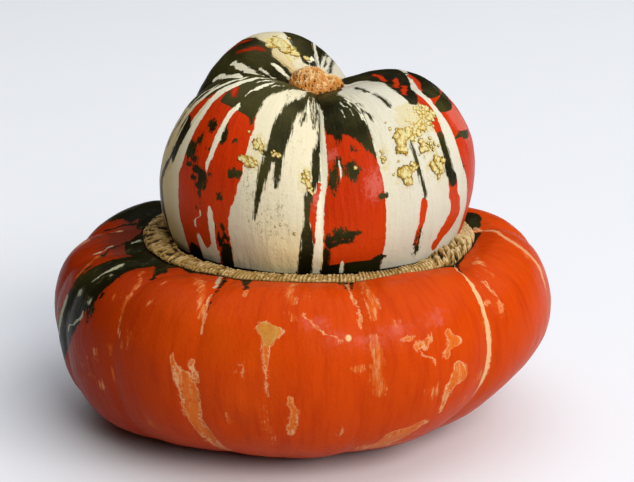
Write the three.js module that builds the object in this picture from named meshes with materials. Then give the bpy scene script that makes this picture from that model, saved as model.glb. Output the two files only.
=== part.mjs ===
// A turban squash: one fruit that grew as one piece, so one closed solid.
// It rests on its stem end with the lobed blossom end, the turban, on top.
//
// Every point of the skin is found from a turn and a way. The turn is an angle in degrees, 0 at the
// front (-Y) and growing towards +X. The way runs down the skin from 0 to 1 within each zone.
// From the top the zones are the crown, the corky ring, the lower fruit, the flat spot and the basin.

import * as THREE from 'three';

// Driving dimensions: millimetres and degrees. Heights are above the surface that the fruit rests on.
const STEPS_AROUND = 96;

// Crown outlines as [radius, height], from the middle of the top down to the corky ring:
// one over the back of a lobe and one down the groove between two lobes.
const CROWN_RIDGE = [
  [0, 165], [8, 165], [16, 168], [28, 174], [42, 178], [57, 174],
  [69, 163], [77, 147], [79, 129], [77, 110], [72, 91],
];
const CROWN_GROOVE = [
  [0, 165], [8, 164], [15, 162.5], [26, 161], [39, 157], [52, 149],
  [63, 138], [70.5, 125], [75, 111], [75.5, 100], [72, 91],
];
// Each crown lobe starts at a groove and stands higher or lower than the outline by its rise.
const CROWN_LOBES = [
  { groove: 2, rise: -5.5 },
  { groove: 155, rise: 8.5 },
  { groove: 259, rise: -3 },
];
const LOBE_ROUNDNESS_TOP = 0.55;
const LOBE_ROUNDNESS_DOWN = 0.5;
const CROWN_CENTRE = [2.5, 0];
const CROWN_STEPS = 18;
// Where the skin bulges or is drawn in from its outline, each softly round its turn and way.
const CROWN_SWELLS = [
  { turn: 75, way: 0.42, turnWidth: 22, wayWidth: 0.12, rise: -4.8 },
  { turn: 90, way: 0.62, turnWidth: 20, wayWidth: 0.14, rise: -1.8 },
  { turn: 178, way: 0.45, turnWidth: 22, wayWidth: 0.12, rise: -1.3 },
  { turn: 210, way: 0.42, turnWidth: 18, wayWidth: 0.1, rise: -2.3 },
  { turn: 270, way: 0.6, turnWidth: 25, wayWidth: 0.2, rise: -1.4 },
];
// Swells fade out within this share of the way at both ends of a zone.
const SWELL_FADE = 0.06;

// The blossom scar is a low corky button in the middle of the top.
const SCAR_RADIUS = 13;
const SCAR_HEIGHT = 6;

// The corky ring fills the step between the crown and the lower fruit, and stands slightly proud.
const RING_RISE = 1.5;

// Lower fruit outline as [radius, height], from the ring out over the shoulder and down to the base.
const LOWER_OUTLINE = [
  [84, 90], [90, 92], [99, 93], [110, 89.5], [119.5, 81], [125.5, 65],
  [125, 48], [118.5, 31], [105, 15], [84, 4], [60, 0],
];
const RING_CENTRE = [0, 0];
const LOWER_CENTRE = [-3.5, -2];
// The lower fruit's middle moves from the ring's to its own within this share of the way down.
const DRIFT_WAY = 0.25;
const LOWER_STEPS = 20;
// The lower fruit is flatter at the back, fuller on the left and lower on the right.
const BACK_FLATNESS = 0.1;
const LEFT_FULLNESS = 0.02;
const RIGHT_DROP = 1;
// Seams run down the lower fruit between its shallow ribs. A seam ends at its turn at the base,
// and starts at the ring that turn and its lean.
const SEAMS = [
  { turn: 12.5, lean: 0.5, depth: 1.5 },
  { turn: 43, lean: 11, depth: 4 },
  { turn: 92, lean: 2, depth: 2.5 },
  { turn: 126, lean: -4, depth: 3.5 },
  { turn: 160, lean: 3, depth: 2.5 },
  { turn: 196, lean: -3, depth: 3.5 },
  { turn: 228, lean: 5, depth: 3 },
  { turn: 258, lean: 6, depth: 3 },
  { turn: 281, lean: 10, depth: 2 },
  { turn: 292, lean: 14, depth: 2.5 },
  { turn: 316, lean: 4, depth: 1.5 },
  { turn: 338, lean: -1, depth: 1.5 },
];
const SEAM_WIDTH = 6;
const SEAM_ROUNDNESS = 2;
// The rib on the right is undercut: this dent takes its depth off the radius round its middle.
const UNDERCUT = { turn: 68, way: 0.78, turnWidth: 22, wayWidth: 0.12, depth: 7 };

const LOWER_SWELLS = [
  { turn: -90, way: 0.2, turnWidth: 30, wayWidth: 0.16, rise: -4.4 },
  { turn: -90, way: 0.5, turnWidth: 32, wayWidth: 0.2, rise: -1 },
  { turn: -70, way: 0.8, turnWidth: 32, wayWidth: 0.14, rise: 5.4 },
  { turn: -30, way: 0.84, turnWidth: 26, wayWidth: 0.12, rise: -1.4 },
  { turn: 5, way: 0.84, turnWidth: 26, wayWidth: 0.12, rise: -1.8 },
  { turn: 40, way: 0.82, turnWidth: 24, wayWidth: 0.12, rise: -2.4 },
  { turn: 70, way: 0.72, turnWidth: 26, wayWidth: 0.16, rise: -1.9 },
  { turn: 90, way: 0.5, turnWidth: 32, wayWidth: 0.2, rise: 1 },
  { turn: 90, way: 0.24, turnWidth: 32, wayWidth: 0.14, rise: 2.3 },
];

// The flat spot is a ring-shaped plane. Inside it the stem end is drawn up into a shallow basin,
// and the corky stub of the stem stays clear of the surface below.
const FLAT_INNER_RADIUS = 36;
const BASIN = [[26, 3.5], [16, 8], [11, 9], [9.5, 5.5]];
const STEM_FACE_HEIGHT = 5;

const SKIN = new THREE.MeshStandardMaterial({ color: 0xd9460b, roughness: 0.42, metalness: 0 });

const asCurve = (outline) => new THREE.SplineCurve(outline.map(([r, z]) => new THREE.Vector2(r, z)));
const crownRidge = asCurve(CROWN_RIDGE);
const crownGroove = asCurve(CROWN_GROOVE);
const lowerOutline = asCurve(LOWER_OUTLINE);

// A point at a radius and height, on the given turn around a centre.
function pointAt(turn, radius, height, [centreX, centreY]) {
  const angle = THREE.MathUtils.degToRad(turn);
  return new THREE.Vector3(
    centreX + radius * Math.sin(angle),
    centreY - radius * Math.cos(angle),
    height,
  );
}

// The lobe that holds a turn, and how far across it the turn lies, from 0 to 1.
function lobeAt(turn) {
  const first = CROWN_LOBES[0].groove;
  const fromFirst = THREE.MathUtils.euclideanModulo(turn - first, 360);
  const starts = CROWN_LOBES.map((lobe) => lobe.groove - first);
  const index = starts.findLastIndex((start) => start <= fromFirst);
  const end = index + 1 < starts.length ? starts[index + 1] : 360;
  return { lobe: CROWN_LOBES[index], across: (fromFirst - starts[index]) / (end - starts[index]) };
}

// The angle from one turn to another, from -180 to 180.
const turnFrom = (start, turn) => THREE.MathUtils.euclideanModulo(turn - start + 180, 360) - 180;

// How far the swells lift the skin off its outline.
function swellHeight(swells, turn, way) {
  let total = 0;
  for (const swell of swells) {
    const across = turnFrom(swell.turn, turn) / swell.turnWidth;
    const down = (way - swell.way) / swell.wayWidth;
    total += swell.rise * Math.exp(-(across ** 2) - down ** 2);
  }
  return total * Math.min(1, way / SWELL_FADE, (1 - way) / SWELL_FADE);
}

function crownPoint(turn, way) {
  const { lobe, across } = lobeAt(turn);
  const roundness = LOBE_ROUNDNESS_TOP + LOBE_ROUNDNESS_DOWN * way;
  const fullness = Math.sin(Math.PI * across) ** roundness;
  const ridge = crownRidge.getPoint(way);
  ridge.y += lobe.rise * Math.sin(Math.PI * way);
  const outline = crownGroove.getPoint(way).lerp(ridge, fullness);
  const along = crownGroove.getTangent(way).lerp(crownRidge.getTangent(way), fullness).normalize();
  const swell = swellHeight(CROWN_SWELLS, turn, way);
  const radius = outline.x - along.y * swell;
  const scar = SCAR_HEIGHT * Math.sqrt(Math.max(0, 1 - (radius / SCAR_RADIUS) ** 2));
  return pointAt(turn, radius, outline.y + along.x * swell + scar, CROWN_CENTRE);
}

// How deep the seams cut in: each is a rounded valley with long flanks.
function seamDepth(turn, way) {
  let total = 0;
  for (const seam of SEAMS) {
    const away = turnFrom(seam.turn + seam.lean * (1 - way) ** 2, turn);
    const rounded = Math.hypot(away, SEAM_ROUNDNESS) - SEAM_ROUNDNESS;
    total += seam.depth * Math.exp(-rounded / SEAM_WIDTH);
  }
  return total;
}

// The seams are half as deep at the ring and run out at the flat spot.
const seamStrength = (way) => Math.min(1, 0.5 + 3 * way) * Math.sqrt(Math.max(0, 1 - way ** 4));

function undercutDepth(turn, way) {
  const across = turnFrom(UNDERCUT.turn, turn) / UNDERCUT.turnWidth;
  const down = (way - UNDERCUT.way) / UNDERCUT.wayWidth;
  return UNDERCUT.depth * Math.exp(-(across ** 2) - down ** 2);
}

// The middle of the lower fruit's outline.
function lowerCentre(way) {
  const drift = Math.min(1, way / DRIFT_WAY);
  return RING_CENTRE.map((start, axis) => start + (LOWER_CENTRE[axis] - start) * drift);
}

function lowerPoint(turn, way) {
  const outline = lowerOutline.getPoint(way);
  const along = lowerOutline.getTangent(way);
  const cut = seamDepth(turn, way) * seamStrength(way) - swellHeight(LOWER_SWELLS, turn, way);
  const angle = THREE.MathUtils.degToRad(turn);
  const back = ((1 - Math.cos(angle)) / 2) ** 2;
  const left = Math.max(0, -Math.sin(angle)) ** 2;
  const right = Math.max(0, Math.sin(angle));
  const fullness = 1 - BACK_FLATNESS * back + LEFT_FULLNESS * left;
  const radius = (outline.x + along.y * cut) * fullness - undercutDepth(turn, way);
  const height = outline.y - along.x * cut;
  const drop = RIGHT_DROP * right * (height / LOWER_OUTLINE[0][1]) ** 2;
  return pointAt(turn, radius, height - drop, lowerCentre(way));
}

function ringCrestPoint(turn) {
  const crest = crownPoint(turn, 1).lerp(lowerPoint(turn, 0), 0.5);
  crest.z += RING_RISE;
  return crest;
}

// Rows of points from the top to the underside. Each row is a function of the turn.
function skinRows() {
  const rows = [];
  for (let step = 1; step <= CROWN_STEPS; step += 1) {
    rows.push((turn) => crownPoint(turn, step / CROWN_STEPS));
  }
  rows.push(ringCrestPoint);
  for (let step = 0; step < LOWER_STEPS; step += 1) {
    rows.push((turn) => lowerPoint(turn, step / LOWER_STEPS));
  }
  const [flatOuterRadius] = LOWER_OUTLINE.at(-1);
  for (const [radius, height] of [[flatOuterRadius, 0], [FLAT_INNER_RADIUS, 0], ...BASIN]) {
    rows.push((turn) => pointAt(turn, radius, height, LOWER_CENTRE));
  }
  return rows;
}

// A closed surface from a top pole, rows of equal length and a bottom pole, facing outwards.
function closedSurface(topPole, rows, bottomPole) {
  const positions = [...topPole];
  for (const row of rows) {
    for (let step = 0; step < STEPS_AROUND; step += 1) {
      positions.push(...row((360 * step) / STEPS_AROUND));
    }
  }
  positions.push(...bottomPole);
  const at = (row, step) => 1 + row * STEPS_AROUND + (step % STEPS_AROUND);
  const lastRow = rows.length - 1;
  const bottom = 1 + rows.length * STEPS_AROUND;
  const faces = [];
  for (let step = 0; step < STEPS_AROUND; step += 1) {
    faces.push(0, at(0, step), at(0, step + 1));
    for (let row = 0; row < lastRow; row += 1) {
      faces.push(at(row, step), at(row + 1, step), at(row + 1, step + 1));
      faces.push(at(row, step), at(row + 1, step + 1), at(row, step + 1));
    }
    faces.push(at(lastRow, step), bottom, at(lastRow, step + 1));
  }
  const geometry = new THREE.BufferGeometry();
  geometry.setAttribute('position', new THREE.Float32BufferAttribute(positions, 3));
  geometry.setIndex(faces);
  return geometry;
}

function squashGeometry() {
  const topPole = crownPoint(0, 0);
  const bottomPole = pointAt(0, 0, STEM_FACE_HEIGHT, LOWER_CENTRE);
  const geometry = closedSurface(topPole, skinRows(), bottomPole);
  geometry.computeBoundingBox();
  const middle = geometry.boundingBox.getCenter(new THREE.Vector3());
  geometry.translate(-middle.x, -middle.y, 0);
  geometry.computeVertexNormals();
  return geometry;
}

const squash = new THREE.Group();
const fruit = new THREE.Mesh(squashGeometry(), SKIN);
fruit.name = 'turban_squash';
squash.add(fruit);

export default squash;
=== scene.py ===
import math

import bpy
import numpy as np
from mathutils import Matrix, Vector, noise


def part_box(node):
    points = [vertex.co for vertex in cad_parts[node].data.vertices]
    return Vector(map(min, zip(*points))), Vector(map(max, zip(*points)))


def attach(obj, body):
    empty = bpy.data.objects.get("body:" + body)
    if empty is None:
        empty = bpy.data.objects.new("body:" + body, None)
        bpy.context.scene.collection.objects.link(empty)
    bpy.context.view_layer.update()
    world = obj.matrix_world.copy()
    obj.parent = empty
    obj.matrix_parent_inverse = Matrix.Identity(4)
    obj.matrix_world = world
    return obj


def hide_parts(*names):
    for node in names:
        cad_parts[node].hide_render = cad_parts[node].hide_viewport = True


# A turban squash: the low ribbed lower fruit, the lobed crown inside its corky ring, the blossom
# scar on top and the stem scar in the basin underneath.
#
# A place on the skin is a turn and a way. The turn is in degrees, 0 at the front (-Y) and growing
# towards +X, and the way runs from 0 at the top of a zone to 1 at its foot. Shapes are worked out in
# millimetres, as the frame's were, and put into the meshes in metres.
# Markings, warts and grain are worked out from turn and way as well, so they follow the skin.

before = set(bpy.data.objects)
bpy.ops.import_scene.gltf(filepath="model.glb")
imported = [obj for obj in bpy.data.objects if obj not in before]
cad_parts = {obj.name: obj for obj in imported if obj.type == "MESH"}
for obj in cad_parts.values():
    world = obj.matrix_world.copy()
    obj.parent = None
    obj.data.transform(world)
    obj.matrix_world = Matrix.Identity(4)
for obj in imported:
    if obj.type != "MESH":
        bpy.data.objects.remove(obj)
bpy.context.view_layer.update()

NODE = "turban_squash"
MM = 0.001

# ---- The fruit's driving dimensions, the same as the frame's

CROWN_RIDGE = [
    (0, 165), (8, 165), (16, 168), (28, 174), (42, 178), (57, 174),
    (69, 163), (77, 147), (79, 129), (77, 110), (72, 91),
]
CROWN_GROOVE = [
    (0, 165), (8, 164), (15, 162.5), (26, 161), (39, 157), (52, 149),
    (63, 138), (70.5, 125), (75, 111), (75.5, 100), (72, 91),
]
CROWN_LOBES = [(2, -5.5), (155, 8.5), (259, -3)]
LOBE_ROUNDNESS_TOP = 0.55
LOBE_ROUNDNESS_DOWN = 0.5
CROWN_CENTRE = (2.5, 0)
# (turn, way, width in turn, width in way, rise)
CROWN_SWELLS = [
    (75, 0.42, 22, 0.12, -4.8), (90, 0.62, 20, 0.14, -1.8), (178, 0.45, 22, 0.12, -1.3),
    (210, 0.42, 18, 0.1, -2.3), (270, 0.6, 25, 0.2, -1.4),
]
SWELL_FADE = 0.06

LOWER_OUTLINE = [
    (84, 90), (90, 92), (99, 93), (110, 89.5), (119.5, 81), (125.5, 65),
    (125, 48), (118.5, 31), (105, 15), (84, 4), (60, 0),
]
RING_CENTRE = (0, 0)
LOWER_CENTRE = (-3.5, -2)
DRIFT_WAY = 0.25
BACK_FLATNESS = 0.1
LEFT_FULLNESS = 0.02
RIGHT_DROP = 1
# (turn, lean, depth)
SEAMS = [
    (12.5, 0.5, 1.5), (43, 11, 4), (92, 2, 2.5), (126, -4, 3.5), (160, 3, 2.5), (196, -3, 3.5),
    (228, 5, 3), (258, 6, 3), (281, 10, 2), (292, 14, 2.5), (316, 4, 1.5), (338, -1, 1.5),
]
SEAM_WIDTH = 6
SEAM_ROUNDNESS = 2
UNDERCUT_TURN, UNDERCUT_WAY = 68, 0.78
UNDERCUT_WIDTHS = (22, 0.12)
UNDERCUT_DEPTH = 7
LOWER_SWELLS = [
    (-90, 0.2, 30, 0.16, -4.4), (-90, 0.5, 32, 0.2, -1), (-70, 0.8, 32, 0.14, 5.4),
    (-30, 0.84, 26, 0.12, -1.4), (5, 0.84, 26, 0.12, -1.8), (40, 0.82, 24, 0.12, -2.4),
    (70, 0.72, 26, 0.16, -1.9), (90, 0.5, 32, 0.2, 1), (90, 0.24, 32, 0.14, 2.3),
]
FLAT_INNER_RADIUS = 36
BASIN = [(36, 0), (26, 3.5), (16, 8), (8, 10), (0, 10)]
RING_LIP = 1.2
# Details of the lower fruit's skin: a fine crease along each seam, and (turn, way, width in turn,
# height in way, depth) of the small dents.
CREASE_DEPTH = 0.55
CREASE_WIDTH = 1.3
DENTS = [(-14.5, 0.67, 3, 0.035, 1.3), (62, 0.3, 5, 0.08, 0.6), (20, 0.88, 8, 0.04, 1),
         (-113, 0.16, 20, 0.16, -3)]


# ---- The shape of the skin

def spline(points, way):
    """The smooth curve through the points, by the rule of three.js's SplineCurve."""
    points = np.asarray(points, float)
    last = len(points) - 1
    place = np.clip(way, 0, 1) * last
    index = np.minimum(place.astype(int), last - 1)
    part = (place - index)[..., None]
    before = points[np.maximum(index - 1, 0)]
    start, end = points[index], points[index + 1]
    after = points[np.minimum(index + 2, last)]
    leave, arrive = (end - before) / 2, (after - start) / 2
    cubic = 2 * start - 2 * end + leave + arrive
    square = 3 * end - 3 * start - 2 * leave - arrive
    return ((cubic * part + square) * part + leave) * part + start


def turn_from(start, turn):
    """The angle from one turn to another, from -180 to 180."""
    return np.mod(turn - start + 180, 360) - 180


def point_at(turn, radius, height, centre):
    angle = np.radians(turn)
    x = centre[0] + radius * np.sin(angle)
    y = centre[1] - radius * np.cos(angle)
    return np.stack(np.broadcast_arrays(x, y, height), -1)


def along_at(outline, way):
    """The direction in which an outline runs, as three.js's getTangent gives it."""
    step = 1e-4
    along = spline(outline, way + step) - spline(outline, way - step)
    return along / (np.linalg.norm(along, axis=-1)[..., None] + 1e-12)


def swell_height(swells, turn, way):
    """How far the swells lift the skin off its outline."""
    total = np.zeros_like(turn)
    for swell_turn, swell_way, turn_width, way_width, rise in swells:
        across = turn_from(swell_turn, turn) / turn_width
        down = (way - swell_way) / way_width
        total += rise * np.exp(-across ** 2 - down ** 2)
    return total * np.clip(np.minimum(way, 1 - way) / SWELL_FADE, 0, 1)


def crown_point(turn, way):
    turn, way = np.broadcast_arrays(np.asarray(turn, float), np.asarray(way, float))
    first = CROWN_LOBES[0][0]
    edges = np.array([groove - first for groove, _ in CROWN_LOBES] + [360])
    rises = np.array([rise for _, rise in CROWN_LOBES])
    from_first = np.mod(turn - first, 360)
    index = np.clip(np.searchsorted(edges, from_first, side="right") - 1, 0, len(rises) - 1)
    across = (from_first - edges[index]) / (edges[index + 1] - edges[index])
    roundness = LOBE_ROUNDNESS_TOP + LOBE_ROUNDNESS_DOWN * way
    fullness = np.sin(np.pi * across) ** roundness
    ridge = spline(CROWN_RIDGE, way)
    ridge[..., 1] += rises[index] * np.sin(np.pi * way)
    groove = spline(CROWN_GROOVE, way)
    outline = groove + (ridge - groove) * fullness[..., None]
    groove_along = along_at(CROWN_GROOVE, way)
    along = groove_along + (along_at(CROWN_RIDGE, way) - groove_along) * fullness[..., None]
    along /= np.linalg.norm(along, axis=-1)[..., None] + 1e-12
    swell = swell_height(CROWN_SWELLS, turn, way)
    radius = outline[..., 0] - along[..., 1] * swell
    return point_at(turn, radius, outline[..., 1] + along[..., 0] * swell, CROWN_CENTRE)


def seam_depth(turn, way):
    total = np.zeros_like(turn)
    for seam_turn, lean, depth in SEAMS:
        away = turn_from(seam_turn + lean * (1 - way) ** 2, turn)
        rounded = np.hypot(away, SEAM_ROUNDNESS) - SEAM_ROUNDNESS
        total += depth * np.exp(-rounded / SEAM_WIDTH)
    strength = np.minimum(1, 0.5 + 3 * way) * np.sqrt(np.maximum(0, 1 - way ** 4))
    return total * strength


def lower_point(turn, way):
    turn, way = np.broadcast_arrays(np.asarray(turn, float), np.asarray(way, float))
    outline = spline(LOWER_OUTLINE, way)
    along = along_at(LOWER_OUTLINE, way)
    cut = seam_depth(turn, way) - swell_height(LOWER_SWELLS, turn, way)
    angle = np.radians(turn)
    back = ((1 - np.cos(angle)) / 2) ** 2
    left = np.maximum(0, -np.sin(angle)) ** 2
    right = np.maximum(0, np.sin(angle))
    fullness = 1 - BACK_FLATNESS * back + LEFT_FULLNESS * left
    across = turn_from(UNDERCUT_TURN, turn) / UNDERCUT_WIDTHS[0]
    down = (way - UNDERCUT_WAY) / UNDERCUT_WIDTHS[1]
    undercut = UNDERCUT_DEPTH * np.exp(-across ** 2 - down ** 2)
    radius = (outline[..., 0] + along[..., 1] * cut) * fullness - undercut
    height = outline[..., 1] - along[..., 0] * cut
    height -= RIGHT_DROP * right * (height / LOWER_OUTLINE[0][1]) ** 2
    drift = np.minimum(1, way / DRIFT_WAY)
    centre = [start + (end - start) * drift for start, end in zip(RING_CENTRE, LOWER_CENTRE)]
    return point_at(turn, radius, height, centre)


def frame_shift():
    """The move that centres the lower fruit on the frame, whose origin is its box's middle."""
    turns = np.arange(0, 360, 0.5)
    ways = np.linspace(0, 1, 60)
    points = lower_point(*np.meshgrid(turns, ways)).reshape(-1, 3)
    low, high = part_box(NODE)
    middle = (np.array(low) + np.array(high)) / 2 / MM
    shift = middle - (points.min(0) + points.max(0)) / 2
    shift[2] = 0
    return shift


SHIFT = frame_shift()


def normal_at(surface, turn, way):
    """The outward normal of a surface at a turn and way."""
    small_turn, small_way = 0.2, 0.002
    across = surface(turn + small_turn, way) - surface(turn - small_turn, way)
    down = surface(turn, way + small_way) - surface(turn, way - small_way)
    normal = np.cross(down, across)
    return normal / (np.linalg.norm(normal, axis=-1)[..., None] + 1e-12)


# ---- Making meshes

def roughness_field(points, size, octaves=3, seed=0.0):
    """A smooth random height from about -1 to 1 at each point, with lumps of the given size."""
    offset = Vector((seed, seed * 1.7, -seed))
    heights = np.empty(len(points))
    for index, point in enumerate(points):
        place = Vector(point) / size + offset
        heights[index] = noise.fractal(place, 0.8, 2.0, octaves)
    return heights


def fresh():
    """Leaves nothing selected, so that an operator acts only on the piece added next."""
    bpy.ops.object.select_all(action="DESELECT")


def points_of(piece):
    """The piece's points as rows of x, y and z."""
    points = np.empty(len(piece.data.vertices) * 3)
    piece.data.vertices.foreach_get("co", points)
    return points.reshape(-1, 3)


def place_points(piece, points):
    """Moves the piece's points to places in the fruit's millimetres, and smooths the shading."""
    metres = np.asarray((points + SHIFT) * MM, np.float32)
    piece.data.vertices.foreach_set("co", metres.ravel())
    piece.data.update()
    bpy.ops.object.shade_smooth()


def finish_piece(piece, name, material):
    """Gives a piece its name, its material and its body."""
    piece.name = name
    piece.data.name = name
    piece.data.materials.clear()
    piece.data.materials.append(material)
    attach(piece, "root")
    return piece


def sphere_rows(segments, rows):
    """A new sphere as the start of a piece, and the turn and row number of each of its points.

    Row 0 is the top pole and the last row is the bottom pole. The sphere starts coarse and each
    side of its faces is then cut in four, so segments and rows are multiples of four.
    """
    cuts = 4
    fresh()
    bpy.ops.mesh.primitive_uv_sphere_add(segments=segments // cuts, ring_count=rows // cuts)
    piece = bpy.context.active_object
    bpy.ops.object.mode_set(mode="EDIT")
    bpy.ops.mesh.select_all(action="SELECT")
    bpy.ops.mesh.subdivide(number_cuts=cuts - 1)
    bpy.ops.object.mode_set(mode="OBJECT")
    ball = points_of(piece)
    ball /= np.linalg.norm(ball, axis=1)[:, None]
    row = np.rint(np.arccos(np.clip(ball[:, 2], -1, 1)) / np.pi * rows).astype(int)
    turn = np.degrees(np.arctan2(ball[:, 0], -ball[:, 1]))
    return piece, turn, row


def skin_map(piece, turn, way):
    """Stores the turn and way at every face corner, with the jump at the back kept between faces."""
    mesh = piece.data
    vertex = np.empty(len(mesh.loops), int)
    mesh.loops.foreach_get("vertex_index", vertex)
    sizes = np.empty(len(mesh.polygons), int)
    mesh.polygons.foreach_get("loop_total", sizes)
    face = np.repeat(np.arange(len(sizes)), sizes)
    corner_turn, corner_way = turn[vertex], way[vertex]
    pole = (corner_way <= way.min()) | (corner_way >= way.max())
    # A face across the back has its low turns raised by a whole turn.
    highest = np.full(len(sizes), -np.inf)
    np.maximum.at(highest, face, np.where(pole, -np.inf, corner_turn))
    corner_turn[highest[face] - corner_turn > 180] += 360
    # A pole takes the middle turn of the other corners of each face.
    total = np.bincount(face, np.where(pole, 0, corner_turn))
    count = np.bincount(face, ~pole)
    corner_turn = np.where(pole, (total / np.maximum(count, 1))[face], corner_turn)
    corners = np.stack([corner_turn, corner_way], -1)
    layer = mesh.uv_layers.new(name="skin")
    layer.data.foreach_set("uv", corners.astype(np.float32).ravel())
    return corners


def add_bake_map(piece, corners, way_low, way_high):
    """An evenly used map from 0 to 1 for a finished texture: turn across, way down."""
    across = np.clip((corners[:, 0] + 180) / 361, 0, 1)
    down = np.clip((corners[:, 1] - way_low) / (way_high - way_low), 0, 1)
    layer = piece.data.uv_layers.new(name="OFBake")
    layer.data.foreach_set("uv", np.stack([across, 1 - down], -1).astype(np.float32).ravel())


# ---- Values inside a material

class Value:
    """A number in a material's nodes that takes part in sums as a plain number does."""

    def __init__(self, tree, socket):
        self.tree = tree
        self.socket = socket

    def math(self, operation, *others):
        node = self.tree.nodes.new("ShaderNodeMath")
        node.operation = operation
        for place, value in enumerate((self, *others)):
            feed(self.tree, value, node.inputs[place])
        return Value(self.tree, node.outputs[0])

    def __add__(self, other):
        return self.math("ADD", other)

    def __sub__(self, other):
        return self.math("SUBTRACT", other)

    def __rsub__(self, other):
        return (self * -1) + other

    def __mul__(self, other):
        return self.math("MULTIPLY", other)

    def __abs__(self):
        return self.math("ABSOLUTE")

    def ease(self, low, high):
        """0 below low, 1 above high, and smooth between."""
        node = self.tree.nodes.new("ShaderNodeMapRange")
        node.interpolation_type = "SMOOTHSTEP"
        feed(self.tree, self, node.inputs["Value"])
        feed(self.tree, low, node.inputs["From Min"])
        feed(self.tree, high, node.inputs["From Max"])
        return Value(self.tree, node.outputs["Result"])


def feed(tree, value, socket):
    """Sets a socket to a plain number or colour, or links it to a value, a coat or a socket."""
    if isinstance(value, Coat):
        value = value.colour
    elif isinstance(value, Value):
        value = value.socket
    if isinstance(value, bpy.types.NodeSocket):
        tree.links.new(value, socket)
    else:
        socket.default_value = value


def shade(text):
    """A colour from its six hexadecimal digits, as Blender's linear numbers."""
    levels = [int(text[place:place + 2], 16) / 255 for place in (0, 2, 4)]
    linear = [v / 12.92 if v <= 0.04045 else ((v + 0.055) / 1.055) ** 2.4 for v in levels]
    return (*linear, 1)


class Coat:
    """A colour in a material's nodes, built up in layers."""

    def __init__(self, tree, colour):
        self.tree = tree
        self.colour = colour

    def lay(self, over, share):
        """Lays a colour or another coat on this one, for a share from 0 to 1 at each point."""
        node = self.tree.nodes.new("ShaderNodeMix")
        node.data_type = "RGBA"
        feed(self.tree, share, node.inputs[0])
        feed(self.tree, self.colour, node.inputs[6])
        feed(self.tree, over, node.inputs[7])
        self.colour = node.outputs[2]
        return self


def grain(tree, place, scale, detail=2, roughness=0.5, seed=0.0):
    """A random pattern from 0 to 1, about 0.5 on average."""
    node = tree.nodes.new("ShaderNodeTexNoise")
    node.noise_dimensions = "4D"
    feed(tree, place, node.inputs["Vector"])
    node.inputs["W"].default_value = seed
    node.inputs["Scale"].default_value = scale
    node.inputs["Detail"].default_value = detail
    node.inputs["Roughness"].default_value = roughness
    return Value(tree, node.outputs[0])


def graph(value, points):
    """A smooth graph through (place, height) points, read at a value."""
    node = value.tree.nodes.new("ShaderNodeFloatCurve")
    mapping = node.mapping
    mapping.use_clip = False
    mapping.extend = "HORIZONTAL"
    line = mapping.curves[0]
    while len(line.points) < len(points):
        line.points.new(0.5, 0.5)
    for point, location in zip(line.points, points):
        point.location = location
        point.handle_type = "AUTO_CLAMPED"
    mapping.update()
    feed(value.tree, value, node.inputs["Value"])
    return Value(value.tree, node.outputs[0])


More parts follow.
